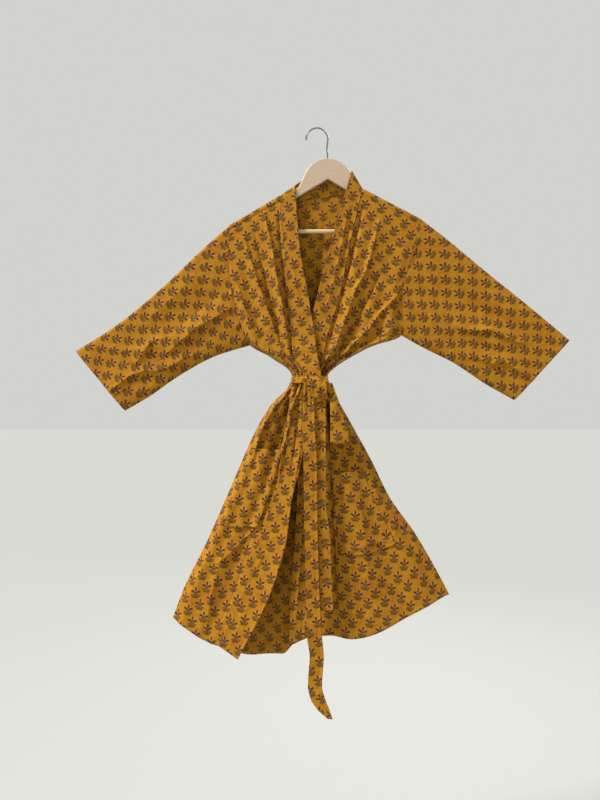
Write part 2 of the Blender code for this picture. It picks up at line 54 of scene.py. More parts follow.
# %% [markdown]
# The camera looks straight at the robe from the photograph's place: 1.45 m in front, level with the
# middle of the picture. A picture 800 pixels tall spans 1.88 m at the robe, which sets the lens.
# %% Camera
PICTURE_HEIGHT = 1.88
CAMERA_DISTANCE = 1.45
PICTURE_CENTRE = Vector((-0.040, 0.0, -0.637))
SENSOR = 36.0

camera_data = bpy.data.cameras.new("photo_camera")
camera_data.sensor_width = SENSOR
camera_data.lens = SENSOR * CAMERA_DISTANCE / PICTURE_HEIGHT
camera = bpy.data.objects.new("photo_camera", camera_data)
camera.location = PICTURE_CENTRE + Vector((0, -CAMERA_DISTANCE, 0))
camera.rotation_euler = (math.radians(90), 0, 0)
bpy.context.scene.collection.objects.link(camera)
bpy.context.scene.camera = camera
print("lens", round(camera_data.lens, 1), "mm")

# %% [markdown]
# Colours are read as sRGB hex values, the way a colour picker shows them, and turned to linear light.
# One function adds a node with its settings and links, so that a material reads as a list of steps.
# %% Helpers for materials


def linear(code):
    """Turn an sRGB hex colour into the linear values that shaders use."""
    parts = [int(code[i:i + 2], 16) / 255 for i in (0, 2, 4)]
    return tuple(p / 12.92 if p <= 0.04045 else ((p + 0.055) / 1.055) ** 2.4 for p in parts) + (1.0,)


def add(tree, kind, inputs=None, **settings):
    """Add a shader node, set it, and link or set its inputs by name or number."""
    made = tree.nodes.new("ShaderNode" + kind)
    for key, value in settings.items():
        setattr(made, key, value)
    for socket, value in (inputs or {}).items():
        if isinstance(value, bpy.types.NodeSocket):
            tree.links.new(value, made.inputs[socket])
        else:
            made.inputs[socket].default_value = value
    return made


def new_material(name):
    material = bpy.data.materials.new(name)
    material.use_nodes = True
    tree = material.node_tree
    return material, tree, tree.nodes["Principled BSDF"]


def blend_colour(tree, below, above, mask):
    mixed = add(tree, "Mix", {0: mask, 6: below, 7: above}, data_type="RGBA")
    return mixed.outputs[2]
print("middle grey in linear light:", round(linear("808080")[0], 3))

# %% [markdown]
# The cotton is block printed by hand: a sprig with three petals over a leafy cup, leaning a little, in a
# half-drop repeat. A picture of it could be laid on the cloth, but a few ellipses, charted on one side
# of the sprig's middle line and mirrored, stay sharp and are easy to change. The half drop comes from two
# square layouts, half a repeat apart, of which each point takes the nearer sprig.
# %% The printed sprig
REPEAT_ACROSS, REPEAT_DOWN = 40.0, 45.0    # millimetres
SPRIG_TILT = 16.0     # degrees that the sprig leans to the left
INK_OUTSIDE, INK_INSIDE = 1.12, 0.9    # where an ellipse's soft edge starts and ends, in its radii
WOBBLES_PER_MM, WOBBLE_MM = 0.25, 2.0    # the block's lines are never quite true
INKS = {
    # ink: colour and how strongly it covers
    "rim": ("523A0A", 0.8),
    "cup": ("684C1C", 0.7),
    "foot": ("50360A", 0.85),
    "blush": ("7A4428", 0.75),
    "heart": ("46380C", 0.85),
    "fleck": ("B48A60", 0.75),
    "petal": ("3A1006", 1.0),
}
SPRIG = (
    # ink, centre x, centre y, half width, half length, turn in degrees
    ("rim", 0.0, -4.6, 9.4, 7.4, 0),
    ("cup", 0.0, -4.0, 7.2, 4.8, 0),
    ("foot", 3.0, -9.6, 4.4, 2.4, 20),
    ("foot", 8.4, -5.6, 1.6, 2.6, -20),
    ("blush", 0.0, 3.6, 6.4, 5.2, 0),
    ("heart", 0.0, 0.6, 2.8, 2.4, 0),
    ("fleck", 6.4, -0.6, 1.6, 1.4, 0),
    ("fleck", 3.6, 8.2, 1.2, 1.8, 24),
    ("petal", 0.0, 9.6, 2.3, 4.0, 0),
    ("petal", 7.0, 3.8, 2.5, 4.2, 62),
)


def sprig_mask(tree, place, row):
    """One ellipse of the sprig, with a soft edge."""
    _, x, y, half_width, half_length, turn = row
    moved = add(tree, "VectorMath", {0: place, 1: (x, y, 0)}, operation="SUBTRACT").outputs[0]
    turned = add(tree, "VectorRotate", {"Vector": moved, "Angle": math.radians(turn)},
                 rotation_type="Z_AXIS").outputs[0]
    scaled = add(tree, "VectorMath", {0: turned, 1: (1 / half_width, 1 / half_length, 0)},
                 operation="MULTIPLY").outputs[0]
    reach = add(tree, "VectorMath", {0: scaled}, operation="LENGTH").outputs["Value"]
    soft = add(tree, "MapRange", {"Value": reach, "From Min": INK_OUTSIDE, "From Max": INK_INSIDE})
    return soft.outputs[0]


def sprig_place(tree, cloth_mm):
    """Where a point lies in its nearest sprig, on the side that was charted."""
    wobble = add(tree, "TexNoise", {"Vector": cloth_mm, "Scale": WOBBLES_PER_MM, "Detail": 2.0})
    centred = add(tree, "VectorMath", {0: wobble.outputs["Color"], 1: (0.5, 0.5, 0.5)}, operation="SUBTRACT")
    shifted = add(tree, "VectorMath", {0: centred.outputs[0], 1: (WOBBLE_MM, WOBBLE_MM, 0), 2: cloth_mm},
                  operation="MULTIPLY_ADD").outputs[0]
    half = (REPEAT_ACROSS / 2, REPEAT_DOWN / 2, 1.0)
    places, reaches = [], []
    for layout in ((0, 0, 0), (half[0], half[1], 0)):
        moved = add(tree, "VectorMath", {0: shifted, 1: layout}, operation="ADD").outputs[0]
        wrapped = add(tree, "VectorMath", {0: moved, 1: half, 2: (-half[0], -half[1], -1.0)},
                      operation="WRAP").outputs[0]
        size = add(tree, "VectorMath", {0: wrapped}, operation="ABSOLUTE").outputs[0]
        reach = add(tree, "VectorMath", {0: size, 1: (1 / half[0], 1 / half[1], 0)}, operation="DOT_PRODUCT")
        places.append(wrapped)
        reaches.append(reach.outputs["Value"])
    second = add(tree, "Math", {0: reaches[1], 1: reaches[0]}, operation="LESS_THAN").outputs[0]
    nearest = add(tree, "Mix", {0: second, 4: places[0], 5: places[1]}, data_type="VECTOR").outputs[1]
    leaning = add(tree, "VectorRotate", {"Vector": nearest, "Angle": math.radians(SPRIG_TILT)},
                  rotation_type="Z_AXIS").outputs[0]
    split = add(tree, "SeparateXYZ", {0: leaning})
    mirrored = add(tree, "Math", {0: split.outputs[0]}, operation="ABSOLUTE").outputs[0]
    up = add(tree, "Math", {0: split.outputs[1], 1: -1.0}, operation="MULTIPLY").outputs[0]
    return add(tree, "CombineXYZ", {0: mirrored, 1: up}).outputs[0]


print("ellipses in the sprig:", len(SPRIG))

# %% [markdown]
# Medium cotton in plain weave. The dye of its ground is patchy and the ink uneven, as on hand-printed
# cloth, and the slubs and the weave keep its shine dull. The colour follows the cloth, so it reads the
# piece's own UV map, which is laid in metres of flat cloth. The wrong side is a little paler, with less ink.
# %% Printed cotton
GROUND, GROUND_WARM, GROUND_LIGHT = "9C680E", "985C0C", "AC8416"
PATCHES_PER_MM, STREAKS_PER_MM, BLOTS_PER_MM, SLUBS_PER_MM = 0.016, 0.06, 0.35, 0.09
THREAD_MM = 0.9       # real threads lie about 0.3 mm apart, drawn three times as coarse to show
WAVE_BAND = 0.314     # length of one band of a wave texture at scale 1
WRONG_SIDE_INK, WRONG_SIDE_LIFT = 0.82, 0.1


def printed_cotton(name, ink, lift):
    """Plain-weave cotton. ink is how much print shows, lift how pale the ground is."""
    material, tree, shader = new_material(name)
    uv = add(tree, "UVMap", uv_map="cloth").outputs[0]
    cloth_mm = add(tree, "VectorMath", {0: uv, 1: (1000, 1000, 0)}, operation="MULTIPLY").outputs[0]
    patches = add(tree, "TexNoise", {"Vector": cloth_mm, "Scale": PATCHES_PER_MM, "Detail": 3.0,
                                     "Roughness": 0.6}).outputs[0]
    warm = add(tree, "MapRange", {"Value": patches, "From Min": 0.44, "From Max": 0.64}).outputs[0]
    streaks = add(tree, "TexNoise", {"Vector": cloth_mm, "Scale": STREAKS_PER_MM, "Detail": 4.0,
                                     "Roughness": 0.7}).outputs[0]
    light = add(tree, "MapRange", {"Value": streaks, "From Min": 0.45, "From Max": 0.75,
                                   "To Max": 0.55 + lift}).outputs[0]
    colour = blend_colour(tree, linear(GROUND), linear(GROUND_WARM), warm)
    colour = blend_colour(tree, colour, linear(GROUND_LIGHT), light)
    place = sprig_place(tree, cloth_mm)
    blot = add(tree, "TexNoise", {"Vector": cloth_mm, "Scale": BLOTS_PER_MM, "Detail": 3.0}).outputs[0]
    cover = add(tree, "MapRange", {"Value": blot, "From Min": 0.25, "From Max": 0.6,
                                   "To Min": 0.55 * ink, "To Max": ink}).outputs[0]
    for row in SPRIG:
        code, strength = INKS[row[0]]
        shape = sprig_mask(tree, place, row)
        mask = add(tree, "Math", {0: shape, 1: cover}, operation="MULTIPLY").outputs[0]
        mask = add(tree, "Math", {0: mask, 1: strength}, operation="MULTIPLY").outputs[0]
        colour = blend_colour(tree, colour, linear(code), mask)
    weave_heights = []
    for axis in ("X", "Y"):
        threads = add(tree, "TexWave", {"Vector": cloth_mm, "Scale": WAVE_BAND / THREAD_MM,
                                        "Distortion": 0.6, "Detail": 1.0}, bands_direction=axis)
        weave_heights.append(threads.outputs["Fac"])
    weave = add(tree, "Math", {0: weave_heights[0], 1: weave_heights[1]}, operation="ADD").outputs[0]
    slub = add(tree, "TexNoise", {"Vector": cloth_mm, "Scale": SLUBS_PER_MM, "Detail": 5.0,
                                  "Roughness": 0.65}).outputs[0]
    crumple = add(tree, "Bump", {"Height": slub, "Strength": 0.35, "Distance": 0.004}).outputs[0]
    bump = add(tree, "Bump", {"Height": weave, "Strength": 0.25, "Distance": 0.0002, "Normal": crumple})
    tree.links.new(colour, shader.inputs["Base Color"])
    tree.links.new(bump.outputs[0], shader.inputs["Normal"])
    shader.inputs["Roughness"].default_value = 0.82
    shader.inputs["Sheen Weight"].default_value = 0.04
    shader.inputs["Sheen Roughness"].default_value = 0.5
    shader.inputs["Specular IOR Level"].default_value = 0.15
    return material


cotton_face = printed_cotton("block_printed_cotton", 1.0, 0.0)
cotton_back = printed_cotton("cotton_wrong_side", WRONG_SIDE_INK, WRONG_SIDE_LIFT)
print("cotton nodes:", len(cotton_face.node_tree.nodes))

# %% [markdown]
# The robe is drafted as a pattern cutter would. A table gives a few rows of cloth, and a smooth curve
# through them gives every place between, read by Numpy for a whole sheet at once. The curve keeps
# between its points, so that a seam never bulges past them. All is in millimetres, seen from the front.
# %% Reading a draft


def smooth(table, column, at):
    """Read a column of a table at many places along its first column."""
    places = np.array([row[0] for row in table], float)
    values = np.array([row[column] for row in table], float)
    slopes = np.diff(values) / np.diff(places)
    tangents = np.concatenate(([slopes[0]], np.zeros(len(values) - 2), [slopes[-1]]))
    same_way = slopes[:-1] * slopes[1:] > 0
    sums = np.where(same_way, slopes[:-1] + slopes[1:], 1.0)
    tangents[1:-1] = np.where(same_way, 2 * slopes[:-1] * slopes[1:] / sums, 0.0)
    at = np.clip(np.asarray(at, float), places[0], places[-1])
    cell = np.clip(np.searchsorted(places, at, side="right") - 1, 0, len(places) - 2)
    width = places[cell + 1] - places[cell]
    u = (at - places[cell]) / width
    start = (2 * u ** 3 - 3 * u ** 2 + 1) * values[cell] + (u ** 3 - 2 * u ** 2 + u) * width * tangents[cell]
    end = (3 * u ** 2 - 2 * u ** 3) * values[cell + 1] + (u ** 3 - u ** 2) * width * tangents[cell + 1]
    return start + end


def mix(a, b, share):
    return a + (b - a) * share


def near(value, place, width):
    """A soft bump: 1 at the place, and almost gone two widths away from it."""
    return np.exp(-((value - place) / width) ** 2)


print("halfway up a smooth step:", float(smooth(((0, 0), (1, 0), (2, 1), (3, 1)), 1, 1.5)))

# %% [markdown]
# These rules are those of the frame's pieces: soft folds that are uneven in place and depth, round
# sides, and a hem that swings more the nearer it is. The belt also presses fine tucks into the cloth.
# Here and below, the odd numbers inside a sine only keep its waves from falling in step with others.
# %% Folds and gathers
UNDERARM, WAIST, HIP, HEM = 310.0, 432.0, 560.0, 1060.0    # down the cloth from the shoulder
FOLD_SHIFT, FOLD_UNEVEN = 0.02, 0.2
GATHER_MM, GATHER_REACH, GATHER_EDGE = 1.6, 75.0, 0.1


def fold_wave(share, folds, fade):
    warped = share + FOLD_SHIFT * np.sin(2 * math.pi * share + 0.6)
    uneven = 1 - FOLD_UNEVEN + FOLD_UNEVEN * np.sin(7.0 * share + 1.0)
    edge = np.clip(np.minimum(share, 1.0 - share) / fade, 0.0, 1.0)
    return -np.cos(2 * math.pi * folds * warped) * uneven * edge


def side_round(share, reach):
    return np.sin(math.pi / 2 * np.minimum(1.0, share / reach))


def hem_nearness(down):
    return np.maximum(0.0, (down - HIP) / (HEM - HIP))


def gathers(share, down, count):
    """Fine tucks that the belt presses into the cloth, gone a hand's width away from it."""
    close = np.exp(-np.abs(down - WAIST) / GATHER_REACH)
    edge = np.clip(np.minimum(share, 1.0 - share) / GATHER_EDGE, 0.0, 1.0)
    tucks = np.sin(2 * math.pi * count * share + 1.3 * np.sin(9 * share) + down / 60)
    return GATHER_MM * close * edge * tucks


print("robe length:", HEM, "mm from the shoulder")

# %% [markdown]
# The creases that catch the light were drawn on the picture, in real millimetres: a line, how
# high it stands, and how far it reaches on its upper and lower side. A crease with a short lower side
# is a turned fold, lit above and dark below. Half of each is a soft swell and half a sharp crest.
# %% Creases
CREST_SHARE, CREST_WIDTH = 0.5, 0.26    # the crest's part of the height, and of the reach


def crease_lift(x, z, creases):
    """Sum of the creases at many points: each fades at its ends and away from its line."""
    total = np.zeros_like(x)
    for height, above, below, points in creases:
        spans = [math.dist(a, b) for a, b in zip(points, points[1:])]
        length, passed = sum(spans), 0.0
        nearest = np.full_like(x, 1e9)
        lift = np.zeros_like(x)
        for (ax, az), (bx, bz), span in zip(points, points[1:], spans):
            dx, dz = (bx - ax) / span, (bz - az) / span
            run = np.clip((x - ax) * dx + (z - az) * dz, 0, span)
            off_x, off_z = x - ax - run * dx, z - az - run * dz
            distance = np.hypot(off_x, off_z)
            turn = 1.0 if dx >= 0 else -1.0
            reach = np.where(off_z * dx * turn - off_x * dz * turn >= 0, above, below)
            share = (passed + run) / length
            taper = np.clip(np.sin(math.pi * share), 0, 1) ** 0.5
            crest = np.exp(-distance / (CREST_WIDTH * reach))
            value = height * taper * mix(np.exp(-(distance / reach) ** 2), crest, CREST_SHARE)
            lift = np.where(distance < nearest, value, lift)
            nearest = np.minimum(nearest, distance)
            passed += span
        total += lift
    return total


print("a crease 5 mm high lifts the cloth", float(crease_lift(
    np.array([5.0]), np.array([0.0]), ((5.0, 4, 4, ((0, 0), (10, 0))),))[0]), "mm at its middle")

# %% [markdown]
# Printed cloth shows how it was cut, so each sheet's UV map is laid out as flat cloth in metres. The
# columns follow the grain, and a row that runs slanting to it keeps its slant.
# %% Laying out flat cloth


def lay_uv(points, reference):
    """Flat cloth coordinates of a grid: the columns follow the grain, and a row may run slanting to it."""
    step = np.diff(points, axis=1)
    grain = np.gradient(points, axis=0)
    grain = (grain[:, :-1] + grain[:, 1:]) / 2
    grain /= np.maximum(np.linalg.norm(grain, axis=2, keepdims=True), 1e-9)
    slide = np.sum(step * grain, axis=2)
    across = np.sqrt(np.maximum(np.sum(step ** 2, axis=2) - slide ** 2, 0.0))
    middle = round(reference * (points.shape[1] - 1))
    along = np.linalg.norm(np.diff(points[:, middle], axis=0), axis=1)
    down = np.concatenate(([0.0], np.cumsum(along)))[:, None]
    start = np.zeros((len(points), 1))
    u = np.concatenate((start, np.cumsum(across, axis=1)), axis=1)
    v = np.concatenate((start, np.cumsum(slide, axis=1)), axis=1)
    u -= u[:, middle:middle + 1]
    v += down - v[:, middle:middle + 1]
    return np.stack((u, v), axis=2) * MM


square = np.dstack((*np.meshgrid([0.0, 10.0], [0.0, 10.0]), np.zeros((2, 2))))
print("a square of 10 mm is laid out as", lay_uv(square, 0.0)[1, 1].round(4), "m")

# %% [markdown]
# Each sheet starts as a flat bmesh grid whose points are moved onto the drafted surface. Solidify gives
# it the thickness of cotton, with the wrong side inside. A closed ring, such as a sleeve, has its two
# edges merged where they meet.
# %% Sheets of cloth
COTTON_MM = 0.8
SEAM_MERGE = 0.00002


def cloth_sheet(name, surface, columns, rows, length, wall=COTTON_MM, outward=-1, judge=1.0, ring=False,
                reference=0.5, cut=(0.0, 0.0), turned=0.0, crowd=1.0):
    """Make a sheet: surface(share, down) gives millimetres for arrays of shares and lengths down.

    outward is the way its face looks along Y, judged on the first part of its length. cut is where on the
    cloth it was cut, in metres, and turned is how many degrees it was turned there. Above 1, crowd draws
    the rows together at the top, where the cloth bends over the shoulder.
    """
    columns, rows = max(4, round(columns * COARSE)), max(4, round(rows * COARSE))
    bm = bmesh.new()
    bmesh.ops.create_grid(bm, x_segments=columns, y_segments=rows, size=0.5)
    bm.verts.ensure_lookup_table()
    flat = np.array([vert.co for vert in bm.verts])
    order = np.lexsort((flat[:, 0], -flat[:, 1]))
    across = len(np.unique(np.round(flat[:, 0], 6)))
    share = (flat[order, 0] + 0.5).reshape(-1, across)
    down = np.clip(0.5 - flat[order, 1], 0, 1).reshape(-1, across) ** crowd * length
    points = surface(share, down)
    cos, sin = math.cos(math.radians(turned)), math.sin(math.radians(turned))
    cloth = lay_uv(points, reference) @ np.array(((cos, sin), (-sin, cos))) + np.array(cut)
    place_down = np.empty(len(flat))
    place_down[order] = down.ravel()
    places = np.empty((len(flat), 3))
    places[order] = points.reshape(-1, 3) * MM
    uvs = np.empty((len(flat), 2))
    uvs[order] = cloth.reshape(-1, 2)
    layer = bm.loops.layers.uv.new("cloth")
    for face in bm.faces:
        face.smooth = True
        for loop in face.loops:
            loop[layer].uv = uvs[loop.vert.index]
    for vert, place in zip(bm.verts, places):
        vert.co = place
    if ring:
        bmesh.ops.remove_doubles(bm, verts=bm.verts[:], dist=SEAM_MERGE)
    bm.normal_update()
    if ring:
        bmesh.ops.recalc_face_normals(bm, faces=bm.faces[:])
    else:
        judged = [face for face in bm.faces if place_down[face.verts[0].index] <= judge * length]
        if sum(face.normal.y * face.calc_area() for face in judged) * outward < 0:
            bmesh.ops.reverse_faces(bm, faces=bm.faces[:])
    return finish_sheet(name, bm, wall)


def finish_sheet(name, bm, wall):
    mesh = bpy.data.meshes.new(name)
    bm.to_mesh(mesh)
    bm.free()
    mesh.materials.append(cotton_face)
    mesh.materials.append(cotton_back)
    piece = bpy.data.objects.new(name, mesh)
    bpy.context.scene.collection.objects.link(piece)
    thick = piece.modifiers.new("cotton", "SOLIDIFY")
    thick.thickness = wall * MM
    thick.offset = 0.0
    thick.use_even_offset = False
    thick.material_offset = 1
    area = sum(polygon.area for polygon in mesh.polygons)
    print(name, "faces", len(mesh.polygons), "area", round(area, 4), "m2")
    return piece


def dress(piece, flat, area, *nodes, held="hung", rests_on="hanger_wood"):
    """Put a piece on the body in place of its frame nodes."""
    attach(piece, BODY)
    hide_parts(*nodes)


# %% [markdown]
# The two fronts hang from the shoulder to the hem, the wearer's right one over the left. Each row of
# their tables gives the side seam, the seam of the band and the band's free edge. The belt draws the
# rows together, so that the cloth spreads again below it.
# %% Front panels, their draft
OVER_FRONT = (
    # down, side x, side z, seam x, seam z, edge x, edge z
    (0, -204, -226, -87, -157, -52, -134),
    (105, -207, -320, -77, -276, -41, -277),
    (230, -186, -437, -65, -405, -19, -405),
    (310, -157, -508, -60, -493, -5, -494),
    (360, -110, -536, -55, -533, 0, -536),
    (420, -59, -580, -33, -577, 8, -582),
    (446, -66, -604, -35, -607, 3, -609),
    (495, -108, -649, -47, -648, -13, -648),
    (555, -143, -707, -63, -706, -26, -706),
    (635, -175, -778, -77, -786, -38, -786),
    (722, -212, -865, -100, -862, -58, -862),
    (830, -257, -966, -136, -965, -71, -958),
    (950, -314, -1083, -166, -1072, -106, -1075),
    (1060, -338, -1147, -227, -1205, -183, -1233),
)
UNDER_FRONT = (
    # down, side x, side z, seam x, seam z, edge x, edge z
    (0, 244, -212, 106, -140, 82, -99),
    (105, 219, -313, 76, -278, 30, -279),
    (230, 197, -414, 51, -399, -3, -405),
    (310, 197, -484, 25, -486, -24, -493),
    (360, 121, -514, 14, -532, -28, -533),
    (420, 24, -583, 0, -580, -31, -579),
    (446, 26, -604, 0, -608, -33, -609),
    (495, 55, -649, 4, -648, -35, -648),
    (555, 88, -707, 6, -706, -40, -706),
    (635, 127, -778, 4, -788, -45, -787),
    (722, 170, -865, 2, -864, -47, -864),
    (830, 228, -947, -3, -962, -52, -962),
    (950, 280, -1036, -10, -1079, -61, -1078),
    (1060, 310, -1093, -19, -1188, -64, -1208),
)
OVER_DEPTH = (
    # down, middle of the panel, at the band seam, fold depth
    (0, 0.8, 0.8, 0.0),
    (5, 7.0, 7.0, 0.0),
    (14, 9.0, 9.0, 0.0),
    (105, 12.0, 14.0, 1.5),
    (230, 17.0, 18.0, 3.5),
    (310, 21.0, 22.0, 5.0),
    (360, 26.0, 30.0, 6.0),
    (420, 29.0, 40.0, 5.0),
    (446, 29.0, 40.0, 5.0),
    (495, 29.0, 36.0, 6.5),
    (555, 28.0, 34.0, 7.0),
    (635, 25.0, 32.0, 4.5),
    (722, 22.0, 29.0, 3.0),
    (950, 18.0, 26.0, 2.0),
    (1060, 16.0, 26.0, 1.5),
)
UNDER_DEPTH = (
    # down, middle of the panel, at the band seam, fold depth
    (0, 0.8, 0.8, 0.0),
    (5, 7.0, 7.0, 0.0),
    (14, 9.0, 9.0, 0.0),
    (105, 12.0, 13.0, 1.5),
    (230, 14.0, 14.0, 3.5),
    (310, 13.0, 16.0, 5.0),
    (360, 12.0, 18.0, 5.5),
    (420, 10.0, 18.0, 5.0),
    (446, 10.0, 18.0, 5.0),
    (495, 12.0, 18.0, 6.0),
    (555, 13.0, 18.0, 6.0),
    (722, 14.0, 18.0, 5.0),
    (950, 13.0, 16.0, 4.0),
    (1060, 12.0, 14.0, 4.0),
)
ARMHOLE_DEPTH = (
    # down, depth
    (0, 0.8),
    (5, 6.5),
    (14, 8.8),
    (60, 9.5),
    (230, 9.5),
    (280, 8.0),
    (302, 4.5),
    (310, 0.8),
    (1060, 0.8),
)
print("waist under the belt:", UNDER_FRONT[5][1] - OVER_FRONT[5][1], "mm wide")

# %% [markdown]
# The fronts' largest creases fan out from the belt: up to the shoulders, where the robe hangs, and down
# into a deep hollow beside the right pocket and along both edges.
# %% Front panels, their creases
OVER_CREASES = (
    # height, upper reach, lower reach, points (x, z)
    (12.0, 5, 14, ((-125, -185), (-116, -237), (-106, -270), (-98, -330), (-84, -400),
                   (-70, -480), (-60, -545))),
    (10.0, 5, 14, ((-172, -250), (-158, -300), (-136, -368), (-115, -427), (-92, -492), (-74, -540))),
    (5.0, 4, 12, ((-196, -330), (-170, -420), (-130, -490), (-86, -552))),
    (-9.0, 7, 5, ((-90, -200), (-84, -290), (-74, -380), (-63, -470), (-55, -545))),
    (-7.0, 9, 7, ((-148, -240), (-126, -330), (-106, -420), (-80, -510))),
    (3.0, 5, 8, ((-205, -300), (-190, -380), (-160, -450), (-120, -520))),
    (10.0, 10, 22, ((-64, -606), (-80, -634), (-96, -650), (-118, -682), (-130, -708),
                    (-141, -745), (-152, -790))),
    (-20.0, 28, 4, ((-58, -600), (-66, -640), (-70, -681), (-79, -725), (-87, -757), (-98, -810))),
    (7.0, 3, 14, ((-54, -608), (-61, -650), (-65, -690), (-74, -728), (-82, -760), (-90, -830))),
    (4.5, 6, 8, ((-137, -750), (-133, -797), (-128, -850), (-118, -884))),
    (3.0, 4, 6, ((-88, -766), (-86, -788), (-70, -802), (-42, -803))),
    (-7.0, 40, 9, ((-104, -810), (-122, -880), (-146, -940), (-166, -1000), (-190, -1080), (-236, -1180))),
    (5.0, 24, 12, ((-205, -960), (-228, -1020), (-243, -1080), (-254, -1142), (-260, -1196))),
    (5.0, 12, 8, ((-128, -908), (-160, -950), (-202, -992), (-246, -1026))),
    (3.0, 8, 12, ((-190, -850), (-230, -940), (-282, -1050), (-312, -1120))),
    (2.5, 8, 5, ((-240, -905), (-222, -912), (-206, -925))),
)
UNDER_CREASES = (
    # height, upper reach, lower reach, points (x, z)
    (11.5, 6, 14, ((145, -215), (128, -284), (114, -335), (90, -377), (73, -427), (55, -475), (30, -550))),
    (8.5, 6, 10, ((200, -360), (182, -398), (145, -435), (119, -473), (86, -503), (45, -550))),
    (5.0, 5, 8, ((192, -455), (145, -492), (100, -522), (56, -556))),
    (-9.0, 7, 5, ((108, -180), (96, -240), (80, -310), (63, -370), (44, -440), (26, -510))),
    (-7.5, 9, 7, ((150, -340), (118, -405), (84, -462), (50, -525))),
    (3.0, 6, 8, ((220, -300), (205, -380), (170, -440))),
    (-12.0, 5, 5, ((24, -636), (26, -680), (28, -740), (30, -790))),
    (-11.0, 22, 22, ((44, -650), (52, -710), (62, -770), (74, -850))),
    (7.0, 13, 6, ((60, -650), (92, -720), (124, -782), (160, -850), (186, -900))),
    (-12.0, 7, 9, ((31, -760), (34, -840), (35, -905), (40, -975), (42, -1060), (48, -1130), (62, -1190))),
    (4.0, 4, 4, ((24, -770), (26, -840), (28, -905))),
    (5.0, 14, 22, ((66, -830), (70, -920), (76, -1010), (88, -1100), (98, -1190))),
    (4.0, 9, 9, ((40, -622), (70, -690), (104, -760), (140, -830))),
    (4.0, 7, 8, ((178, -880), (212, -946), (255, -1014), (300, -1086))),
    (7.0, 30, 110, ((90, -780), (100, -880), (112, -980), (126, -1100))),
    (-3.5, 16, 14, ((96, -1000), (150, -1040), (196, -1100))),
    (4.0, 10, 4, ((54, -1000), (88, -982), (128, -969), (166, -965))),
    (3.0, 6, 5, ((168, -890), (184, -925), (178, -965))),
)
print("creases on the fronts:", len(OVER_CREASES) + len(UNDER_CREASES))

# %% [markdown]
# A front comes forward from its side seam to the band's seam, with a few folds across it. A seam at
# the shoulder and a turned hem show as small steps.
# %% Front panels
FRONT_FOLDS, FOLD_FADE = 3, 0.14
OVER_SAG, UNDER_SAG, SAG_SKEW = 8.0, 40.0, 1.4    # the hem hangs below a straight line, most by the band
UNDER_LIFT, LIFT_PLACE, LIFT_WIDTH = 14.0, 0.84, 0.1    # the left hem swings up beside the long tail
SIDE_ROUND, SEAM_RISE, RISE_BEND = 0.3, 0.45, 1.5    # shares of the width, and how the rise bends
QUIET_EDGE, QUIET_TOP = 0.06, 30.0    # creases fade this near a seam and the shoulder
SEAM_MM, SEAM_RIDGE, SEAM_GROOVE = 1.4, (6.0, 5.0), (15.0, 3.0)    # each lies this far down, this wide
HEM_MM, HEM_TURN, HEM_EDGE = 0.6, 14.0, 4.0    # step where the hem is turned up


def front_surface(table, depths, hem_sag, creases, hem_lift=0.0):
    def surface(share, down):
        x = mix(smooth(table, 1, down), smooth(table, 3, down), share)
        z = mix(smooth(table, 2, down), smooth(table, 4, down), share)
        z = z - hem_sag * hem_nearness(down) * np.sin(math.pi * share ** SAG_SKEW)
        z = z + hem_lift * hem_nearness(down) * near(share, LIFT_PLACE, LIFT_WIDTH)
        side = smooth(ARMHOLE_DEPTH, 1, down)
        middle = smooth(depths, 1, down)
        seam = smooth(depths, 2, down)
        depth = side + (middle - side) * side_round(share, SIDE_ROUND)
        depth += (seam - middle) * np.maximum(0.0, (share - SEAM_RISE) / (1 - SEAM_RISE)) ** RISE_BEND
        depth += smooth(depths, 3, down) * fold_wave(share, FRONT_FOLDS, FOLD_FADE)
        depth += gathers(share, down, FRONT_FOLDS * 2 + 1)
        quiet = np.clip(np.minimum(np.minimum(share, 1 - share) / QUIET_EDGE, down / QUIET_TOP), 0, 1)
        depth += crease_lift(x, z, creases) * quiet
        depth += SEAM_MM * (near(down, *SEAM_RIDGE) - near(down, *SEAM_GROOVE))
        depth += HEM_MM * np.clip((down - HEM + HEM_TURN) / HEM_EDGE, 0, 1)
        return np.stack((x, -depth, z), axis=-1)
    return surface


over_surface = front_surface(OVER_FRONT, OVER_DEPTH, OVER_SAG, OVER_CREASES)
under_surface = front_surface(UNDER_FRONT, UNDER_DEPTH, UNDER_SAG, UNDER_CREASES, UNDER_LIFT)
front_right = cloth_sheet("robe_front_right", over_surface, 110, 300, HEM, crowd=1.2)
front_left = cloth_sheet("robe_front_left", under_surface, 130, 310, HEM, crowd=1.2)
dress(front_right, (0.22, 1.07), 0.14, "front_right")
dress(front_left, (0.36, 1.07), 0.21, "front_left")

# %% [markdown]
# The back is one piece from side seam to side seam, with the neck cut into its top edge. Its sides are
# the fronts' own, so that the seams meet. The belt gathers it in seven folds.
# %% Back panel
BACK_FOLDS, BACK_FADE, BACK_ROUND = 7, 0.12, 0.16
NECK_LEFT, NECK_MIDDLE, NECK_RIGHT = 0.261, 0.476, 0.692    # shares across the back
NECK_DIP, DIP_REACH = 9.5, 200.0
BACK_QUIET_EDGE, BACK_QUIET_TOP, BACK_QUIET_RUN = 0.05, 20.0, 40.0    # where its creases fade
SHOULDER_CURVE = 60.0    # the shoulder's straight lines are a smooth curve this far down
BACK_DEPTH = (
    # down, middle of the panel, fold depth
    (0, 0.8, 0.0),
    (5, 7.0, 0.0),
    (14, 9.0, 0.0),
    (105, 11.0, 1.5),
    (230, 13.0, 3.5),
    (310, 14.0, 5.0),
    (360, 13.0, 5.2),
    (420, 12.5, 5.2),
    (446, 12.5, 5.4),
    (555, 14.0, 7.5),
    (722, 15.0, 8.0),
    (950, 15.0, 7.0),
    (1060, 14.0, 6.0),
)
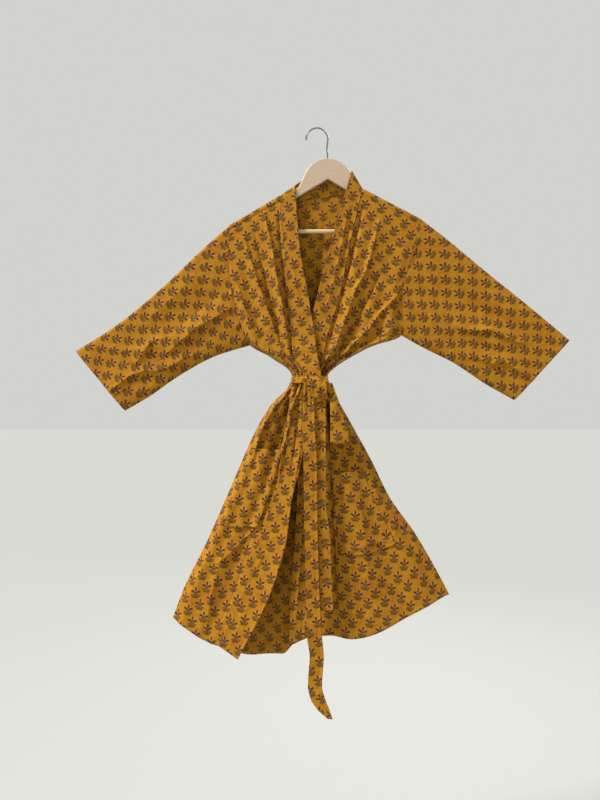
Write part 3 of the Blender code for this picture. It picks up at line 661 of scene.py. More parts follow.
SHOULDER_TURN = BACK_DEPTH[2][0]    # down to here the cloth turns over the shoulder, but not in the neck
BACK_HEM = (
    # share across the back, drop
    (0.0, 0),
    (0.26, 33),
    (0.395, 38),
    (0.45, 8),
    (0.55, -4),
    (0.69, -10),
    (1.0, 0),
)
BACK_CREASES = (
    # height, upper reach, lower reach, points (x, z)
    (4.0, 6, 12, ((-150, -215), (-120, -330), (-80, -450), (-50, -545))),
    (4.0, 6, 12, ((190, -235), (150, -340), (100, -450), (40, -545))),
    (3.5, 8, 12, ((20, -190), (10, -320), (-10, -450), (-14, -550))),
    (4.0, 14, 12, ((-50, -640), (-100, -780), (-160, -940), (-210, -1100))),
    (3.5, 14, 12, ((30, -650), (80, -780), (140, -920), (200, -1060))),
    (3.0, 14, 14, ((-10, -700), (-20, -850), (-30, -1000), (-20, -1140))),
)


def back_surface(share, down):
    x = mix(smooth(OVER_FRONT, 1, down), smooth(UNDER_FRONT, 1, down), share)
    sides = (smooth(OVER_FRONT, 2, down), smooth(UNDER_FRONT, 2, down))
    seams = (smooth(OVER_FRONT, 4, down), smooth(UNDER_FRONT, 4, down))
    across = np.array([0.0, NECK_LEFT, NECK_MIDDLE, NECK_RIGHT, 1.0])
    z = np.empty_like(share)
    for row in range(share.shape[0]):
        ends = (sides[0][row, 0], seams[0][row, 0], mix(seams[0][row, 0], seams[1][row, 0], 0.5),
                seams[1][row, 0], sides[1][row, 0])
        straight = np.interp(share[row], across, ends)
        curved = smooth(tuple(zip(across, ends)), 1, share[row])
        z[row] = mix(straight, curved, min(1.0, down[row, 0] / SHOULDER_CURVE))
    across_neck = (share - NECK_LEFT) / (NECK_RIGHT - NECK_LEFT)
    in_neck = (across_neck > 0) & (across_neck < 1)
    dip = NECK_DIP * 4 * across_neck * (1 - across_neck) * np.maximum(0.0, 1 - down / DIP_REACH)
    z = z - np.where(in_neck, dip, 0) - smooth(BACK_HEM, 1, share) * hem_nearness(down)
    middle = smooth(BACK_DEPTH, 1, np.where(in_neck, np.maximum(down, SHOULDER_TURN), down))
    side = smooth(ARMHOLE_DEPTH, 1, down)
    reach = np.minimum(share, 1 - share)
    depth = side + (middle - side) * side_round(reach, BACK_ROUND)
    depth += smooth(BACK_DEPTH, 2, down) * fold_wave(share, BACK_FOLDS, BACK_FADE)
    depth += gathers(share, down, BACK_FOLDS * 2 + 3)
    quiet = np.clip(np.minimum(reach / BACK_QUIET_EDGE, (down - BACK_QUIET_TOP) / BACK_QUIET_RUN), 0, 1)
    depth += crease_lift(x, z, BACK_CREASES) * quiet
    return np.stack((x, depth, z), axis=-1)


back = cloth_sheet("robe_back", back_surface, 170, 270, HEM, outward=1, crowd=1.15)
dress(back, (0.70, 1.08), 0.50, "back")

# %% [markdown]
# The front band is a long folded strip sewn along both front edges and round the back of the neck. It
# puckers a little between its two rows of stitches, and a welt stands up along each.
# %% Bands
BAND_MM, BAND_STEP = 1.1, 3.0    # thickness, and how far the free edge comes forward
WELT_MM, WELT_WIDTH, PUCKER_MM = 0.9, 0.05, 0.5
NECK_LAP, NECK_UNDERLAP = 1.1, 0.05    # how far the neck's band stands on the back and reaches over it
NECK_ENDS, LAP_SHARE = 0.02, 0.15
OVER_BAND_CREASES = (
    # height, upper reach, lower reach, points (x, z)
    (4.5, 4, 8, ((-41, -612), (-34, -660), (-37, -720), (-46, -790), (-60, -850))),
    (-5.0, 4, 4, ((-47, -616), (-44, -670), (-50, -730), (-60, -800))),
    (3.5, 3, 5, ((-22, -608), (-24, -650), (-30, -700))),
    (-4.0, 3, 3, ((-29, -612), (-29, -650), (-34, -700), (-42, -760))),
    (13.0, 44, 12, ((-44, -810), (-56, -880), (-70, -958), (-104, -1075), (-142, -1156), (-190, -1250))),
    (2.5, 8, 5, ((-120, -985), (-138, -1020), (-156, -1050))),
    (2.0, 8, 8, ((-150, -1090), (-178, -1150), (-205, -1215))),
    (2.0, 4, 6, ((-60, -300), (-48, -380), (-30, -450))),
    (1.8, 4, 3, ((-58, -463), (-40, -460), (-24, -466))),
)
UNDER_BAND_CREASES = (
    # height, upper reach, lower reach, points (x, z)
    (1.8, 3, 3, ((22, -410), (33, -414), (43, -421))),
    (4.0, 4, 8, ((72, -180), (58, -270), (40, -350), (20, -430))),
    (-3.0, 4, 4, ((84, -180), (70, -270), (52, -350))),
    (4.5, 4, 7, ((-38, -860), (-38, -960), (-44, -1060), (-50, -1150))),
    (-4.0, 4, 4, ((-50, -880), (-51, -970), (-56, -1060))),
    (3.0, 5, 5, ((-20, -1110), (-26, -1160), (-34, -1210))),
)
NECK_EDGE = (
    # along, x, depth, z
    (0.0, -52, 0.8, -134),
    (0.12, -44, 8.0, -124),
    (0.3, -26, 10.5, -114),
    (0.5, 10, 11.5, -111),
    (0.7, 44, 11.0, -109),
    (0.88, 73, 8.0, -103),
    (1.0, 82, 0.8, -99),
)


def band_surface(table, depths, creases):
    def surface(share, down):
        seam_depth = smooth(depths, 2, down)
        edge_depth = seam_depth + BAND_STEP * np.minimum(1.0, down / SHOULDER_CURVE)
        x = mix(smooth(table, 3, down), smooth(table, 5, down), share)
        z = mix(smooth(table, 4, down), smooth(table, 6, down), share)
        depth = mix(seam_depth, edge_depth, share)
        welt = WELT_MM * near(share, 0, WELT_WIDTH) + WELT_MM * near(share, 1, WELT_WIDTH)
        pucker = PUCKER_MM * np.sin(down / 9.0 + 2 * np.sin(down / 47.0)) * np.sin(math.pi * share)
        lift = crease_lift(x, z, creases) * np.clip(down / QUIET_TOP, 0, 1)
        return np.stack((x, -depth - welt - pucker - lift, z), axis=-1)
    return surface


def neck_surface(share, along):
    seam = back_surface(mix(NECK_LEFT, NECK_RIGHT, along), np.zeros_like(along))
    edge = np.stack([smooth(NECK_EDGE, column, along) for column in (1, 2, 3)], axis=-1)
    ends = (along < NECK_ENDS) | (along > 1 - NECK_ENDS)
    seam[..., 1] = np.where(ends, NECK_EDGE[0][2], seam[..., 1])
    lap = np.clip(1 - share / LAP_SHARE, 0, 1) * (1 - np.abs(2 * along - 1)) ** 0.3
    points = seam + (edge - seam) * mix(-NECK_UNDERLAP, 1.0, share)[..., None]
    points[..., 1] -= NECK_LAP * lap
    return points


over_band_surface = band_surface(OVER_FRONT, OVER_DEPTH, OVER_BAND_CREASES)
under_band_surface = band_surface(UNDER_FRONT, UNDER_DEPTH, UNDER_BAND_CREASES)
band_right = cloth_sheet("robe_band_right", over_band_surface, 28, 300, HEM, BAND_MM)
band_left = cloth_sheet("robe_band_left", under_band_surface, 28, 300, HEM, BAND_MM)
band_neck = cloth_sheet("robe_band_neck", neck_surface, 10, 80, 1.0, BAND_MM, outward=1)
dress(band_right, (0.05, 1.10), None, "band_right")
dress(band_left, (0.05, 1.15), None, "band_left")
dress(band_neck, (0.05, 0.19), None, "band_neck")

# %% [markdown]
# A sleeve is a flat tube, folded along its top and seamed underneath. Its ring starts at the under
# seam, runs up the front, over the fold and down the back. The creases drawn on the picture lie on the
# front, and a slow ripple runs through both layers.
# %% Sleeves
RIPPLE_MM = 2.2
BOW_FADE, FOLD_EDGE = 1.5, 1e-4    # the armhole's curve fades along the sleeve; its edges are flat
FRONT_MIDDLE = 0.25    # share round the ring where the print is true to the cloth
LEFT_TURN = -12    # degrees that the left sleeve's print runs off its axis
RIGHT_SLEEVE = (
    # along, top x, top z, under x, under z, half depth
    (0.0, -204, -226, -157, -508, 9.5),
    (0.25, -273, -287, -240, -534, 9.5),
    (0.5, -362, -372, -329, -583, 9.0),
    (0.75, -470, -461, -392, -627, 8.5),
    (1.0, -566, -522, -451, -662, 8.0),
)
LEFT_SLEEVE = (
    # along, top x, top z, under x, under z, half depth
    (0.0, 244, -212, 197, -484, 9.5),
    (0.25, 302, -257, 248, -513, 9.5),
    (0.5, 397, -336, 320, -549, 9.0),
    (0.75, 500, -419, 396, -599, 8.5),
    (1.0, 592, -496, 463, -637, 8.0),
)
SLEEVE_RIGHT_CREASES = (
    # height, upper reach, lower reach, points (x, z)
    (9.5, 22, 5, ((-199, -419), (-232, -442), (-274, -465), (-312, -496), (-358, -536))),
    (6.0, 13, 4, ((-385, -501), (-405, -527), (-424, -556))),
    (9.5, 22, 5, ((-300, -532), (-337, -557), (-371, -570), (-404, -570), (-438, -582), (-496, -626))),
    (5.0, 5, 14, ((-400, -408), (-446, -442), (-480, -473), (-508, -500))),
    (5.0, 24, 20, ((-543, -515), (-497, -515), (-455, -524), (-404, -515), (-371, -494), (-329, -486))),
    (4.0, 8, 6, ((-184, -358), (-194, -380), (-204, -400))),
    (4.0, 8, 5, ((-160, -434), (-176, -455), (-192, -474))),
    (3.0, 14, 8, ((-250, -512), (-310, -542), (-360, -580))),
    (3.0, 20, 16, ((-280, -340), (-340, -400), (-400, -450))),
    (3.5, 7, 7, ((-206, -286), (-222, -300), (-214, -326))),
    (-3.5, 18, 10, ((-225, -390), (-290, -440), (-350, -490))),
    (3.0, 9, 4, ((-436, -600), (-470, -622), (-492, -642))),
)
SLEEVE_LEFT_CREASES = (
    # height, upper reach, lower reach, points (x, z)
    (8.5, 16, 7, ((318, -458), (338, -473), (371, -477), (405, -473), (434, -490), (464, -503),
                  (500, -503))),
    (9.0, 18, 6, ((345, -538), (380, -541), (405, -553), (438, -549), (464, -566), (508, -597))),
    (6.0, 9, 4, ((258, -440), (287, -469), (312, -494))),
    (4.5, 12, 5, ((202, -424), (212, -448), (232, -478))),
    (4.0, 6, 6, ((238, -248), (227, -284), (213, -330))),
    (3.0, 16, 16, ((380, -395), (450, -430), (520, -470))),
    (-3.0, 14, 14, ((300, -350), (380, -420), (460, -460))),
    (3.0, 12, 6, ((290, -520), (340, -560), (400, -590))),
    (-3.0, 10, 10, ((330, -500), (400, -515), (460, -530))),
)


def sleeve_surface(table, panel, creases):
    first_top = np.array((table[0][1], table[0][2]), float)
    first_under = np.array((table[0][3], table[0][4]), float)

    def surface(share, along):
        front = share < 0.5
        across = np.where(front, 1 - 2 * share, 2 * share - 1)
        down = across * UNDERARM
        top = np.stack((smooth(table, 1, along), smooth(table, 2, along)), axis=-1)
        under = np.stack((smooth(table, 3, along), smooth(table, 4, along)), axis=-1)
        armhole = np.stack((smooth(panel, 1, down), smooth(panel, 2, down)), axis=-1)
        start = mix(first_top, first_under, across[..., None])
        bow = (armhole - start) * ((1 - along) ** BOW_FADE)[..., None]
        flat = mix(top, under, across[..., None]) + bow
        depth = smooth(ARMHOLE_DEPTH, 1, down) * smooth(table, 5, along) / table[0][5]
        depth = np.where((across < FOLD_EDGE) | (across > 1 - FOLD_EDGE), 0.0, depth)
        ripple = RIPPLE_MM * np.sin(math.pi * along) * np.sin(math.pi * across) ** 2
        ripple = ripple * np.sin(2 * math.pi * (2.3 * across + 0.7 * along))
        lift = crease_lift(flat[..., 0], flat[..., 1], creases) * np.sin(math.pi * across) ** 0.5
        y = np.where(front, -depth - lift, depth) + ripple
        return np.stack((flat[..., 0], y, flat[..., 1]), axis=-1)
    return surface


right_sleeve_surface = sleeve_surface(RIGHT_SLEEVE, OVER_FRONT, SLEEVE_RIGHT_CREASES)
left_sleeve_surface = sleeve_surface(LEFT_SLEEVE, UNDER_FRONT, SLEEVE_LEFT_CREASES)
sleeve_right = cloth_sheet("robe_sleeve_right", right_sleeve_surface, 220, 140, 1.0, ring=True,
                           reference=FRONT_MIDDLE)
sleeve_left = cloth_sheet("robe_sleeve_left", left_sleeve_surface, 220, 140, 1.0, ring=True,
                          reference=FRONT_MIDDLE, turned=LEFT_TURN)
dress(sleeve_right, (0.58, 0.46), 0.175, "sleeve_right")
dress(sleeve_left, (0.56, 0.46), 0.18, "sleeve_left")

# %% [markdown]
# The belt is a flat tube of the same cotton, tied in front in half a bow, which leaves two tails. Each
# hangs as a strip from the knot, a little wavy, with the creases of its folding. Their prints are cut
# from different places, and the short one is turned upside down.
# %% Belt tails
BELT_MM = 1.4
BELT_WELT, BELT_WELT_WIDTH = 0.5, 0.08
CURL_START = 0.78    # share across from which the long tail's edge curls forward
LONG_TAIL = (
    # z, left x, right x, y
    (-590, -31, -13, -49.3),
    (-637, -33, -8, -50.2),
    (-704, -35, -6, -52.0),
    (-772, -32, -2, -52.0),
    (-862, -31, -1, -50.0),
    (-997, -28, 2, -46.0),
    (-1087, -26, 5, -43.0),
    (-1178, -24, 10, -40.0),
    (-1223, -18, 14, -39.0),
    (-1290, -22, 10, -38.0),
    (-1320, -16, 17, -38.0),
    (-1345, 0, 27, -39.0),
    (-1366, 24, 34, -40.0),
)
SHORT_TAIL = (
    # z, left x, right x, y
    (-590, -10, 19, -47.2),
    (-637, -11, 19, -47.6),
    (-727, -6, 19, -48.0),
    (-863, -4, 19, -46.4),
    (-956, 1, 30, -44.0),
    (-1040, 3, 33, -41.0),
    (-1119, 6, 37, -38.0),
)
LONG_TAIL_CREASES = (
    # height, upper reach, lower reach, points (x, z)
    (-3.0, 2.5, 2.5, ((-24, -592), (-23, -635), (-21, -675))),
    (2.0, 2, 3, ((-29, -592), (-30, -640), (-31, -690))),
    (2.6, 5, 5, ((-33, -656), (-20, -690), (-3, -724))),
    (1.4, 6, 4, ((-32, -858), (0, -846))),
    (1.8, 6, 3, ((-29, -1004), (3, -1000))),
    (1.8, 6, 3, ((-26, -1102), (6, -1098))),
    (2.0, 6, 4, ((-20, -1225), (12, -1238))),
    (2.0, 5, 5, ((-16, -1318), (18, -1300))),
)
SHORT_TAIL_CREASES = (
    # height, upper reach, lower reach, points (x, z)
    (1.8, 5, 3, ((-8, -664), (19, -662))),
    (-1.6, 5, 5, ((-8, -716), (19, -712))),
    (1.8, 5, 3, ((-6, -768), (19, -766))),
    (1.4, 6, 4, ((-4, -880), (20, -872))),
    (1.6, 6, 4, ((0, -1004), (32, -998))),
)
LONG_DROP, SHORT_DROP = (float(tail[0][0] - tail[-1][0]) for tail in (LONG_TAIL, SHORT_TAIL))


def by_depth(table):
    """The same rows, with depth below the hook in place of height, so that they rise."""
    return tuple((-row[0], *row[1:]) for row in table)


def strip_surface(table, ripple, creases, curl=0.0):
    lookup = by_depth(table)

    def surface(share, down):
        depth = lookup[0][0] + down
        x = mix(smooth(lookup, 1, depth), smooth(lookup, 2, depth), share)
        y = smooth(lookup, 3, depth)
        welt = BELT_WELT * near(share, 0, BELT_WELT_WIDTH) + BELT_WELT * near(share, 1, BELT_WELT_WIDTH)
        wave = ripple * np.sin(down / 31.0 + 1.5 * np.sin(down / 83.0)) * (share - 0.5)
        wave = wave - curl * np.maximum(0.0, (share - CURL_START) / (1 - CURL_START)) ** 2
        return np.stack((x, y - welt + wave - crease_lift(x, -depth, creases), -depth), axis=-1)
    return surface


long_surface = strip_surface(LONG_TAIL, 2.0, LONG_TAIL_CREASES, curl=2.0)
short_surface = strip_surface(SHORT_TAIL, 1.5, SHORT_TAIL_CREASES)
tail_long = cloth_sheet("belt_tail_long_cloth", long_surface, 14, 260, LONG_DROP, BELT_MM,
                        cut=(0.012, 0.005))
tail_short = cloth_sheet("belt_tail_short_cloth", short_surface, 14, 180, SHORT_DROP, BELT_MM,
                         cut=(0.003, 0.017), turned=180)
dress(tail_long, (0.038, 0.80), 0.0245, "belt_tail_long")
dress(tail_short, (0.038, 0.54), 0.0155, "belt_tail_short")

# %% [markdown]
# The loop of the half bow is the same strip, folded back on itself: its sheet runs down the front,
# round the lower end and up behind. It leaves the knot twisted and swells where it is free.
# %% Belt loop
LOOP_FOLD = 3.4      # from the front layer to the back one
LOOP_TURN = 0.49     # share of the sheet on each side of the fold
LOOP_TWIST, TWIST_REACH = 5.0, 14.0
LOOP_SWELL, LOOP_WAVE, LOOP_TIP = 2.4, 1.3, 1.5
LOOP_FRONT = (
    # z, left x, right x, y
    (-598, 14, 33, -49.4),
    (-618, 23, 40, -50.0),
    (-640, 28, 48, -51.0),
    (-668, 29, 56, -51.5),
    (-694, 29, 70, -51.5),
    (-734, 29, 71, -50.0),
)


def loop_surface(share, turn):
    lookup = by_depth(LOOP_FRONT)
    top, bottom = lookup[0][0], lookup[-1][0]
    folded = np.clip((turn - LOOP_TURN) / (1 - 2 * LOOP_TURN), 0, 1)
    run = np.minimum(np.minimum(turn, 1 - turn) / LOOP_TURN, 1.0)
    depth = top + (bottom - top) * run
    x = mix(smooth(lookup, 1, depth), smooth(lookup, 2, depth), share)
    twist = LOOP_TWIST * near(depth, top, TWIST_REACH) * (share - 0.5)
    y = smooth(lookup, 3, depth) + LOOP_FOLD * folded + twist
    tip = LOOP_TIP * np.sin(math.pi * folded)
    y -= LOOP_SWELL * np.sin(math.pi * share) * np.sin(math.pi * run)
    y += LOOP_WAVE * np.sin(2 * math.pi * (1.6 * run + 0.35 * share))
    return np.stack((x, y, -depth - tip), axis=-1)


loop = cloth_sheet("belt_loop_cloth", loop_surface, 16, 120, 1.0, BELT_MM, judge=0.4, cut=(0.004, 0.011))
dress(loop, (0.038, 0.29), 0.0095, "belt_loop")

# %% [markdown]
# Round the waist the belt is crushed to a narrow band by the knot's pull, with fine crumples and one
# deeper groove. The turn of the knot that shows is a strip over it that bulges forward.
# %% Belt knot and wrap
KNOT = {"left": -18.0, "right": 23.0, "top": -584.0, "bottom": -634.0, "y": -52.6, "bulge": 7.0,
        "pinch": 2.5, "tuck": 0.9}
WRAP = {"top": -581.0, "bottom": -598.0, "left": -58.0, "right": 23.5, "front": -44.9,
        "back": 21.4, "flare": 3.0, "corner_x": 24.0, "corner_y": 31.0}
CRUMPLES = (
    # height, crumples round the waist, how they slant
    (0.5, 29, 2),
    (0.35, 11, 5),
)
GROOVE_MM, GROOVE_SLANT, GROOVE_WIDTH = 0.9, 0.35, 0.1
WRAP_FLAT = 1.6    # above 1, the wrap's sides are flatter
KNOT_CREASES = (
    # height, upper reach, lower reach, points (x, z)
    (2.4, 3, 3, ((-17, -589), (0, -592), (22, -588))),
    (1.6, 3, 4, ((-15, -602), (4, -608), (20, -600))),
    (-1.5, 3, 3, ((-14, -612), (6, -616), (20, -611))),
    (2.4, 4, 2, ((-14, -627), (8, -631), (20, -628))),
)


def knot_surface(share, down):
    arch = np.sin(math.pi * down)
    y = KNOT["y"] - KNOT["bulge"] * arch ** 0.6
    z = mix(KNOT["top"], KNOT["bottom"], down)
    pinch = KNOT["pinch"] * arch
    tuck = KNOT["tuck"] * np.sin(2 * math.pi * (2.2 * share + 0.3 * down)) * arch
    x = mix(KNOT["left"] + pinch, KNOT["right"] - pinch, share)
    return np.stack((x, y - tuck - crease_lift(x, z, KNOT_CREASES), z), axis=-1)


def wrap_surface(share, down):
    angle = 2 * math.pi * share
    crumple = sum(height * np.sin(count * angle + slant * down) for height, count, slant in CRUMPLES)
    crumple -= GROOVE_MM * near(down, 0.5 + GROOVE_SLANT * np.sin(angle), GROOVE_WIDTH)
    flare = WRAP["flare"] * down
    left, right = WRAP["left"] - flare, WRAP["right"] + flare
    half_x = (right - left) / 2 - WRAP["corner_x"]
    half_y = (WRAP["back"] - WRAP["front"]) / 2 - WRAP["corner_y"]
    x = (left + right) / 2 + half_x * np.clip(WRAP_FLAT * np.cos(angle), -1, 1)
    y = (WRAP["front"] + WRAP["back"]) / 2 + half_y * np.clip(WRAP_FLAT * np.sin(angle), -1, 1)
    x += (WRAP["corner_x"] + crumple) * np.cos(angle)
    y += (WRAP["corner_y"] + crumple) * np.sin(angle)
    return np.stack((x, y, mix(WRAP["top"], WRAP["bottom"], down)), axis=-1)


knot = cloth_sheet("belt_knot_cloth", knot_surface, 48, 72, 1.0, BELT_MM, cut=(-0.006, 0.004))
wrap = cloth_sheet("belt_wrap_cloth", wrap_surface, 240, 24, 1.0, BELT_MM, ring=True, cut=(0.0, 0.014))
dress(knot, (0.045, 0.055), None, "belt_knot")
dress(wrap, (0.038, 0.29), 0.0056, "belt_wrap")

# %% [markdown]
# Patch pockets are cut from the front's own surface moved out by a cloth's thickness, so they ride over
# the same folds, but bridge the hollow ones. The mouth hangs slack.
# %% Pockets
OVER_POCKET = {"left": 3 / 15, "right": 13 / 15, "top": 600, "bottom": 790, "mouth": 9.0}
UNDER_POCKET = {"left": 4 / 18, "right": 14 / 18, "top": 650, "bottom": 850, "mouth": 4.0}
POCKET_LIFT = 1.5
FOOT_HEM, MOUTH_HEM = (0.6, 0.03), (0.9, 0.05)    # height and width of the turned edges
SHARE_STEP, DOWN_STEP = 0.004, 1.0


def pocket_surface(panel_surface, cut):
    def surface(share, down):
        across = mix(cut["left"], cut["right"], share)
        along = mix(cut["top"], cut["bottom"], down)
        panel = panel_surface(across, along)
        right = panel_surface(across + SHARE_STEP, along) - panel
        below = panel_surface(across, along + DOWN_STEP) - panel
        normal = np.cross(right, below)
        normal /= np.linalg.norm(normal, axis=-1, keepdims=True)
        normal *= np.where(normal[..., 1:2] > 0, -1, 1)
        points = panel + normal * POCKET_LIFT
        points[..., 1] -= cut["mouth"] * np.sin(math.pi * share) * (1 - down) ** 2
        for (height, width), place in ((FOOT_HEM, 1), (MOUTH_HEM, 0)):
            points[..., 1] -= height * near(down, place, width)
        return points
    return surface


def raised(creases):
    return tuple(row for row in creases if row[0] > 0)


over_bridge = front_surface(OVER_FRONT, OVER_DEPTH, OVER_SAG, raised(OVER_CREASES))
under_bridge = front_surface(UNDER_FRONT, UNDER_DEPTH, UNDER_SAG, raised(UNDER_CREASES), UNDER_LIFT)
right_pocket_surface = pocket_surface(over_bridge, OVER_POCKET)
left_pocket_surface = pocket_surface(under_bridge, UNDER_POCKET)
pocket_right = cloth_sheet("robe_pocket_right", right_pocket_surface, 70, 80, 1.0, cut=(0.006, 0.02))
pocket_left = cloth_sheet("robe_pocket_left", left_pocket_surface, 70, 80, 1.0, cut=(0.014, 0.009))
dress(pocket_right, (0.09, 0.19), None, "pocket_right", rests_on="robe_front_right")
dress(pocket_left, (0.13, 0.20), None, "pocket_left", rests_on="robe_front_left")

# %% [markdown]
# The robe is machine sewn with mercerised cotton: two plies, a little paler and shinier than the cloth,
# so that a row of stitches glints.
# %% Sewing thread
PLY_SCALE = 700.0    # plies 0.45 mm apart, about as coarse as the thread is thick


def sewing_thread():
    material, tree, shader = new_material("sewing_thread")
    place = add(tree, "TexCoord").outputs["Object"]
    ply = add(tree, "TexWave", {"Vector": place, "Scale": PLY_SCALE, "Distortion": 2.0},
              bands_direction="DIAGONAL").outputs["Fac"]
    colour = blend_colour(tree, linear("B4821A"), linear("966A12"), ply)
    bump = add(tree, "Bump", {"Height": ply, "Strength": 0.4, "Distance": 0.0001})
    tree.links.new(colour, shader.inputs["Base Color"])
    tree.links.new(bump.outputs[0], shader.inputs["Normal"])
    shader.inputs["Roughness"].default_value = 0.55
    return material


thread = sewing_thread()
print("thread nodes:", len(thread.node_tree.nodes))

# %% [markdown]
# There are about eight stitches to 25 mm. Each is a small bead of thread, sunk between its two holes,
# so a low icosphere drawn out along the row gives its form. The beads of one seam are one joined mesh.
# %% Stitches
STITCH_MM, STITCH_GAP_MM, THREAD_ROUND_MM, THREAD_FLAT = 2.3, 0.9, 0.26, 0.8
ROUTE_POINTS, NUDGE, AHEAD_MM = 200, 0.002, 0.5    # a row is read at its points and a little beside


def stitch_row(bm, surface, start, end, length, wall, facing=-1):
    """Sew along a straight line on a sheet, from one (share, down) place to another."""
    share, down = (np.linspace(a, b, ROUTE_POINTS)[:, None] for a, b in zip(start, end))
    nudge_down = NUDGE * length
    route = surface(share, down)[:, 0]
    across = (surface(share + NUDGE, down) - surface(share - NUDGE, down))[:, 0]
    along = (surface(share, down + nudge_down) - surface(share, down - nudge_down))[:, 0]
    normal = np.cross(across, along)
    normal *= np.where(normal[:, 1:2] * facing < 0, -1, 1)
    spans = np.linalg.norm(np.diff(route, axis=0), axis=1)
    passed = np.concatenate(([0.0], np.cumsum(spans)))
    pitch = STITCH_MM + STITCH_GAP_MM
    size = Matrix.Diagonal((STITCH_MM / 2, THREAD_ROUND_MM, THREAD_ROUND_MM * THREAD_FLAT, 1.0))
    for place in np.arange(pitch / 2, passed[-1], pitch):
        middle, ahead, up = (Vector([np.interp(place + step, passed, line[:, axis]) for axis in range(3)])
                             for line, step in ((route, 0.0), (route, AHEAD_MM), (normal, 0.0)))
        run = (ahead - middle).normalized()
        up = (up - run * up.dot(run)).normalized()
        middle += up * (wall / 2)
        turn = Matrix((run, up.cross(run), up)).transposed().to_4x4()
        bead = Matrix.Translation(middle * MM) @ turn @ Matrix.Scale(MM, 4) @ size
        bmesh.ops.create_icosphere(bm, subdivisions=1, radius=1.0, matrix=bead)


def sew(name, rows):
    """Join the rows of one seam in one piece that rides with the cloth."""
    bm = bmesh.new()
    for row in rows:
        stitch_row(bm, *row)
    for face in bm.faces:
        face.smooth = True
    mesh = bpy.data.meshes.new(name)
    bm.to_mesh(mesh)
    bm.free()
    mesh.materials.append(thread)
    seam = bpy.data.objects.new(name, mesh)
    bpy.context.scene.collection.objects.link(seam)
    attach(seam, BODY)
    print(name, "faces", len(mesh.polygons))


# %% [markdown]
# Rows of stitches run along the hem, both edges of the band, the cuffs, the pockets and the edges of
# the belt. Each is given by its sheet, its two ends, the sheet's length and its thickness.
# %% Seams
HEM_ROW, CUFF_ROW = HEM - 12.0, 0.965
sew("stitches_hem", [
    (over_surface, (0.02, HEM_ROW), (0.99, HEM_ROW), HEM, COTTON_MM),
    (under_surface, (0.02, HEM_ROW), (0.99, HEM_ROW), HEM, COTTON_MM),
    (back_surface, (0.01, HEM_ROW), (0.99, HEM_ROW), HEM, COTTON_MM, 1),
])
for name, surface in (("stitches_band_right", over_band_surface),
                      ("stitches_band_left", under_band_surface)):
    sew(name, [(surface, (share, 12.0), (share, HEM - 6), HEM, BAND_MM) for share in (0.07, 0.94)])
for name, surface in (("stitches_cuff_right", right_sleeve_surface),
                      ("stitches_cuff_left", left_sleeve_surface)):
    sew(name, [
        (surface, (0.01, CUFF_ROW), (0.49, CUFF_ROW), 1.0, COTTON_MM),
        (surface, (0.51, CUFF_ROW), (0.99, CUFF_ROW), 1.0, COTTON_MM, 1),
    ])
for name, surface in (("stitches_pocket_right", right_pocket_surface),
                      ("stitches_pocket_left", left_pocket_surface)):
    sew(name, [
        (surface, (0.03, 0.01), (0.03, 0.97), 1.0, COTTON_MM),
        (surface, (0.03, 0.975), (0.97, 0.975), 1.0, COTTON_MM),
        (surface, (0.97, 0.97), (0.97, 0.01), 1.0, COTTON_MM),
        (surface, (0.03, 0.09), (0.97, 0.09), 1.0, COTTON_MM),
    ])
for name, surface, drop in (("stitches_tail_long", long_surface, LONG_DROP),
                            ("stitches_tail_short", short_surface, SHORT_DROP)):
    sew(name, [
        (surface, (0.08, 50.0), (0.08, drop - 4), drop, BELT_MM),
        (surface, (0.92, 50.0), (0.92, drop - 4), drop, BELT_MM),
        (surface, (0.1, drop - 3), (0.9, drop - 3), drop, BELT_MM),
    ])
sew("stitches_loop", [
    (loop_surface, (0.08, 0.16), (0.08, 0.47), 1.0, BELT_MM),
    (loop_surface, (0.92, 0.12), (0.92, 0.47), 1.0, BELT_MM),
])

# %% [markdown]
# The hanger keeps the frame's solids. Its arms and bar are beech: long grain lines with short dark
# flecks under a satin lacquer, which adds a thin soft shine. The hook is bright chromed wire, with a
# few rubbed places that blur what it mirrors.
# %% Hanger finishes


def beech(name, along_scale, pale, dark):
    """Scales are per metre: grain lines 2.5 mm apart across the board, flecks 4 mm long."""
    material, tree, shader = new_material(name)
    place = add(tree, "TexCoord").outputs["Object"]
    drawn = add(tree, "Mapping", {"Vector": place, "Scale": (along_scale, 400.0, 300.0)}).outputs[0]
    grain = add(tree, "TexNoise", {"Vector": drawn, "Scale": 1.0, "Detail": 4.0,
                                   "Roughness": 0.6}).outputs[0]
    fleck_place = add(tree, "Mapping", {"Vector": place, "Scale": (250.0, 1500.0, 1500.0)}).outputs[0]
    flecks = add(tree, "TexNoise", {"Vector": fleck_place, "Scale": 1.0, "Detail": 1.0}).outputs[0]
    spots = add(tree, "MapRange", {"Value": flecks, "From Min": 0.62, "From Max": 0.72, "To Max": 0.5})
    colour = blend_colour(tree, linear(pale), linear(dark), grain)
    colour = blend_colour(tree, colour, linear("8E7350"), spots.outputs[0])
    bump = add(tree, "Bump", {"Height": grain, "Strength": 0.2, "Distance": 0.0003})
    tree.links.new(colour, shader.inputs["Base Color"])
    tree.links.new(bump.outputs[0], shader.inputs["Normal"])
    shader.inputs["Roughness"].default_value = 0.38
    shader.inputs["Coat Weight"].default_value = 0.3
    shader.inputs["Coat Roughness"].default_value = 0.25
    return material


def chrome():
    material, tree, shader = new_material("bright_chrome_wire")
    place = add(tree, "TexCoord").outputs["Object"]
    marks = add(tree, "TexNoise", {"Vector": place, "Scale": 900.0, "Detail": 2.0})
    rough = add(tree, "MapRange", {"Value": marks.outputs[0], "To Min": 0.1, "To Max": 0.24}).outputs[0]
    tree.links.new(rough, shader.inputs["Roughness"])
    shader.inputs["Base Color"].default_value = linear("8E9094")
    shader.inputs["Metallic"].default_value = 1.0
    return material


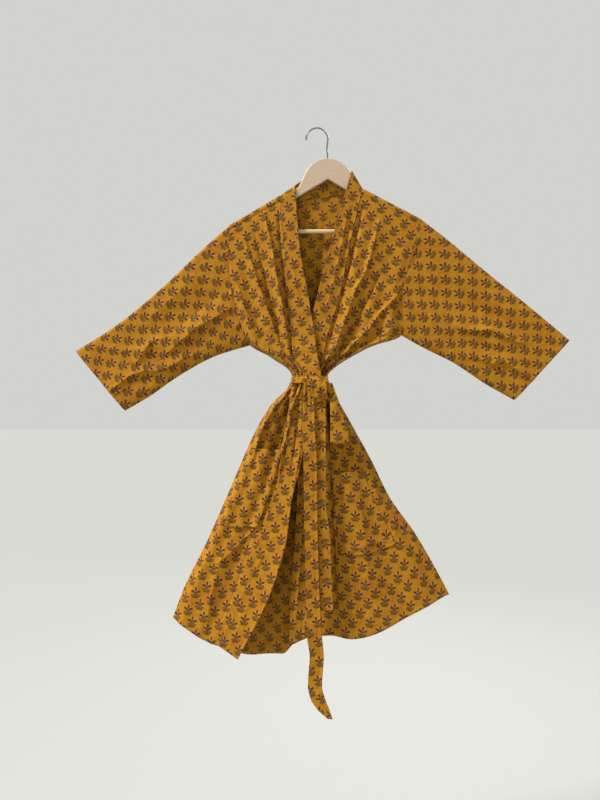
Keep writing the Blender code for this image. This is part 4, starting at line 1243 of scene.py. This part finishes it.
def refinish(node, material):
    """Give a frame node its finish."""
    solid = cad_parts[node]
    solid.data.materials.clear()
    solid.data.materials.append(material)
    print(node, "is", material.name)


refinish("hanger_wood", beech("lacquered_beech", 20.0, "C0AA90", "AC9478"))
refinish("hanger_bar", beech("turned_beech", 12.0, "D2BC88", "BEA46E"))
refinish("hanger_hook", chrome())

# %% [markdown]
# A pale floor lies well below the hem, under a world of one pale grey. The Standard view transform is
# used because the default one, AgX, greys the yellow of the cloth.
# %% Stage
FLOOR_Z, FLOOR_HALF = -2.15, 30

floor_bm = bmesh.new()
bmesh.ops.create_grid(floor_bm, x_segments=1, y_segments=1, size=FLOOR_HALF)
floor_mesh = bpy.data.meshes.new("floor")
floor_bm.to_mesh(floor_mesh)
floor_bm.free()
floor = bpy.data.objects.new("floor", floor_mesh)
floor.location.z = FLOOR_Z
bpy.context.scene.collection.objects.link(floor)
floor_material, _, floor_shader = new_material("matt_pale_floor")
floor_shader.inputs["Base Color"].default_value = linear("A6A6A2")
floor_shader.inputs["Roughness"].default_value = 0.9
floor_mesh.materials.append(floor_material)

world = bpy.data.worlds.new("pale_room")
world.use_nodes = True
world.node_tree.nodes["Background"].inputs[0].default_value = linear("D2D3CF")
world.node_tree.nodes["Background"].inputs[1].default_value = 1.0
bpy.context.scene.world = world
bpy.context.scene.view_settings.view_transform = "Standard"
print("floor at", FLOOR_Z, "m")

# %% [markdown]
# The key is a sun lamp high on the left, whose 12 degrees blur the edges of its shadows. A lamp near
# the left lifts that side, and two weak ones open the shadows in front and behind.
# %% Light
KEY_FROM = (-0.58, -0.31, 0.75)
KEY_STRENGTH = 4.7    # watts per square metre
KEY_SOFTNESS = 12.0   # degrees that the lamp spans
SOFT_LAMPS = (
    # name, place, what it is aimed at, width, watts
    ("left_lamp", (-2.0, -1.1, -0.3), (-0.2, 0, -0.9), 0.9, 9),
    ("fill_lamp", (2.2, -2.4, 0.2), (0, 0, -0.7), 1.8, 1),
    ("rear_lamp", (0.8, 2.4, 0.8), (0, 0, -0.6), 1.8, 40),
)

key = bpy.data.objects.new("key_light", bpy.data.lights.new("key_light", "SUN"))
key.data.energy = KEY_STRENGTH
key.data.angle = math.radians(KEY_SOFTNESS)
key.rotation_euler = Vector(KEY_FROM).to_track_quat("Z", "Y").to_euler()
bpy.context.scene.collection.objects.link(key)
for name, place, target, width, watts in SOFT_LAMPS:
    lamp = bpy.data.objects.new(name, bpy.data.lights.new(name, "AREA"))
    lamp.data.shape = "DISK"
    lamp.data.size = width
    lamp.data.energy = watts
    lamp.location = place
    lamp.rotation_euler = (Vector(target) - Vector(place)).to_track_quat("-Z", "Y").to_euler()
    bpy.context.scene.collection.objects.link(lamp)
print("lamps:", 1 + len(SOFT_LAMPS))
